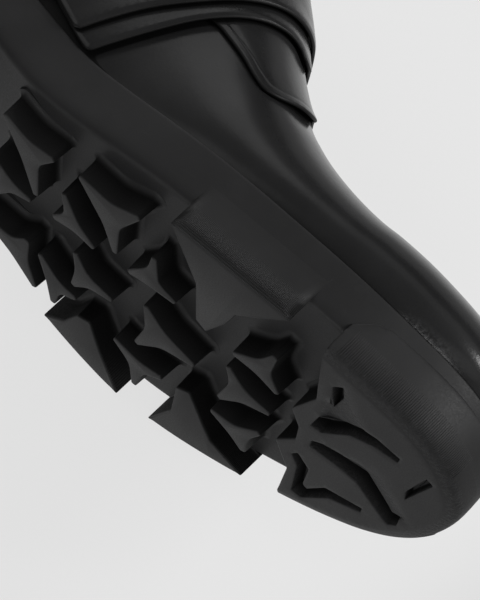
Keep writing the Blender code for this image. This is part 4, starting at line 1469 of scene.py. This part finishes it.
def leather(name):
    dark, light, paint, rough, polish, relief = leathers[name]
    finish = Finish(name, Specular_IOR_Level=leathers["specular"],
                    Coat_Roughness=leathers["polishRoughness"])
    place = finish.place
    clouds = place.noise(*leathers["clouds"])
    pores = place.cells(leathers["pores"])
    wrinkles = place.noise(*leathers["wrinkles"])
    edge = finish.tag("edge").between(0.1, 0.6)
    tone = clouds.between(0.3, 0.7) * 0.7 + pores.between(0.1, 0.6) * 0.3
    # painted shade beside the edges of whatever lies over the piece
    crease = finish.tag("crease").between(0.05, 0.6)
    bare = (1.0 - edge) * (1.0 - crease)
    colour = edge.colours(tone.colours(grey(dark), grey(light)), grey(paint))
    colour = crease.colours(colour, grey(leathers["crease"]))
    # painted highlight on the toe box near the sole's inner edge, in place of a reflection
    if name == "upperLeather":
        inner, along, up = (place.part(axis) for axis in range(3))
        ends = along.between(*leathers["toeHighlightFrom"]) * (1.0 - along.between(*leathers["toeHighlightTo"]))
        highlightBreakup = place.noise(*leathers["toeHighlightGrain"]).between(0.4, 0.62)
        low = 1.0 - up.between(*leathers["toeHighlightTop"])
        toeHighlight = inner.between(*leathers["toeHighlightInner"]) * ends * low * highlightBreakup
        colour = toeHighlight.colours(colour, grey(leathers["toeHighlight"]))
    surface = rough + (clouds - 0.5) * 0.12 + (wrinkles - 0.5) * 0.08 + (1.0 - bare) * 0.3
    shine = polish * bare * clouds.between(0.2, 0.6)
    height = pores * 0.6 + wrinkles * 1.6 * (1.0 - edge)
    return finish.feed(Base_Color=colour, Roughness=surface, Coat_Weight=shine,
                       Normal=(height * relief).bump())


sock = {
    "holes": (0.014, 0.012, 0.011, 1.0),
    "dark": (0.036, 0.032, 0.029, 1.0),
    "light": (0.055, 0.049, 0.044, 1.0),
    "pores": 0.9,
    "clouds": (0.04, 3.0),
    "nap": (2.4, 3.0, 0.7),
    "relief": 0.00005,
}


def insoleLining():
    finish = Finish("insoleLining", Specular_IOR_Level=0.3)
    place = finish.place
    pores = place.cells(sock["pores"]).between(0.05, 0.22)
    clouds = place.noise(*sock["clouds"])
    nap = place.noise(*sock["nap"])
    tone = (clouds * 0.6 + nap * 0.4).between(0.3, 0.7)
    colour = pores.colours(sock["holes"], tone.colours(sock["dark"], sock["light"]))
    return finish.feed(Base_Color=colour, Roughness=0.62 + 0.16 * nap,
                       Normal=((pores + nap * 0.4) * sock["relief"]).bump())


wax = {
    "dark": 0.012,
    "light": 0.034,
    "twist": 9.0,
    "fuzz": (5.0, 2.0),
    "relief": 0.00004,
}


def waxedThread():
    finish = Finish("waxedThread", Specular_IOR_Level=0.35, Roughness=0.5)
    twist = ((finish.place.part(0) + finish.place.part(1) + finish.place.part(2)) * wax["twist"]).sine()
    fuzz = finish.place.noise(*wax["fuzz"])
    tone = (twist * 0.25 + fuzz * 0.5 + 0.25).between(0.0, 1.0)
    colour = tone.colours(grey(wax["dark"]), grey(wax["light"]))
    return finish.feed(Base_Color=colour, Normal=((twist + fuzz) * wax["relief"]).bump())


studio = {
    "floor": 3.0,
    "floorColour": 0.1,
    "floorGlow": 0.7,
    "fibre": 900.0,          # waves per metre
    "pool": (0.13, 0.26),    # the glow fades over these distances
    "poolEdge": 0.4,
    "sky": (   # sine of the height, light
        (0.0, 0.0), (0.28, 0.0), (0.32, 0.58), (0.57, 0.58), (0.63, 0.3), (1.0, 0.3),
    ),
    "lights": (   # name, azimuth, height in degrees, distance, size, power
        ("toeSide", 40.0, 28.0, 1.5, 0.5, 18.0),
        ("toePatch", 311.0, 51.0, 1.6, 0.34, 2.4),
        ("treadSide", 270.0, 5.0, 1.5, 0.6, 10.0),
        ("behind", 150.0, 5.0, 1.5, 0.6, 6.8),
        ("heelSide", 120.0, 5.0, 1.5, 0.6, 3.1),
        ("overhead", 180.0, 54.0, 1.5, 0.8, 1.6),
        ("toeTop", 0.0, 54.0, 1.5, 0.8, 1.1),
        ("soleSide", 120.0, 28.0, 1.5, 0.6, 0.9),
        ("toeLow", 30.0, 5.0, 1.5, 0.6, 0.6),
    ),
}


def setFloor():
    bpy.ops.mesh.primitive_plane_add(size=studio["floor"] * 2.0)
    floor = bpy.context.object
    floor.name = "floor"
    paper = Finish("floorPaper", Specular_IOR_Level=0.0, Roughness=0.9,
                   Emission_Strength=studio["floorGlow"])
    fibre = paper.wire.add("ShaderNodeTexCoord", None, None, 3).noise(studio["fibre"], 2.0)
    tone = studio["floorColour"]
    pool = 1.0 - paper.wire.add("ShaderNodeTexCoord", None, None, 3).length().between(*studio["pool"])
    glow = pool.colours(grey(studio["poolEdge"], 1.0), fibre.colours(grey(0.995, 1.0), grey(1.0, 1.0)))
    base = fibre.colours(grey(tone * 0.96, 1.0), grey(tone * 1.04, 1.0))
    floor.data.materials.append(paper.feed(Base_Color=base, Emission_Color=glow))


def setSky():
    world = bpy.data.worlds.new("studio")
    world.use_nodes = True
    wire = Wire(world.node_tree)
    height = wire.add("ShaderNodeTexCoord").part(2)
    stops = [(rise, (light, light, light)) for rise, light in studio["sky"]]
    sky = wire.add("ShaderNodeValToRGB", {"stops": stops}, {0: height})
    world.node_tree.links.new(sky.socket, world.node_tree.nodes["Background"].inputs["Color"])
    bpy.context.scene.world = world


def setLights():
    for name, azimuth, elevation, distance, size, power in studio["lights"]:
        data = bpy.data.lights.new(name, "AREA")
        data.shape = "DISK"
        data.size = size
        data.energy = power
        lamp = placed(name, data)
        turn, lift = math.radians(azimuth), math.radians(elevation)
        away = Vector((math.cos(lift) * math.cos(turn), math.cos(lift) * math.sin(turn), math.sin(lift)))
        lamp.location = away * distance
        lamp.rotation_euler = away.to_track_quat("Z", "Y").to_euler()


setCamera()
setFloor()
setSky()
setLights()
print("camera and studio ready")

soleFinish = soleRubber()
dress(makeOutsole(), soleFinish, "sole_rubber", "outsole")
dress(makeToeRibs(soleFinish), soleFinish, "sole_rubber")
print("outsole ready")

upperFinish, facingFinish = leather("upperLeather"), leather("facingLeather")
liningFinish, strapFinish = insoleLining(), leather("strapLeather")
dress(makeUpper(), upperFinish, "upper_leather", "upper")
dress(makeQuarters(), facingFinish, "upper_leather", "upper")
dress(makeLining(), liningFinish, "insole_lining", "upper")
threadFinish = waxedThread()
dress(makeStitches(threadFinish), threadFinish, "upper_leather")
print("upper ready")
for row in straps["rows"]:
    dress(makeStrap(*row), strapFinish, "strap_leather", row[0])
print("straps ready")
dress(makeTongue(), leather("tongueLeather"), "tongue_leather", "tongue")
dress(makeInsole(), liningFinish, "insole_lining", "insole")
print("tongue and insole ready")
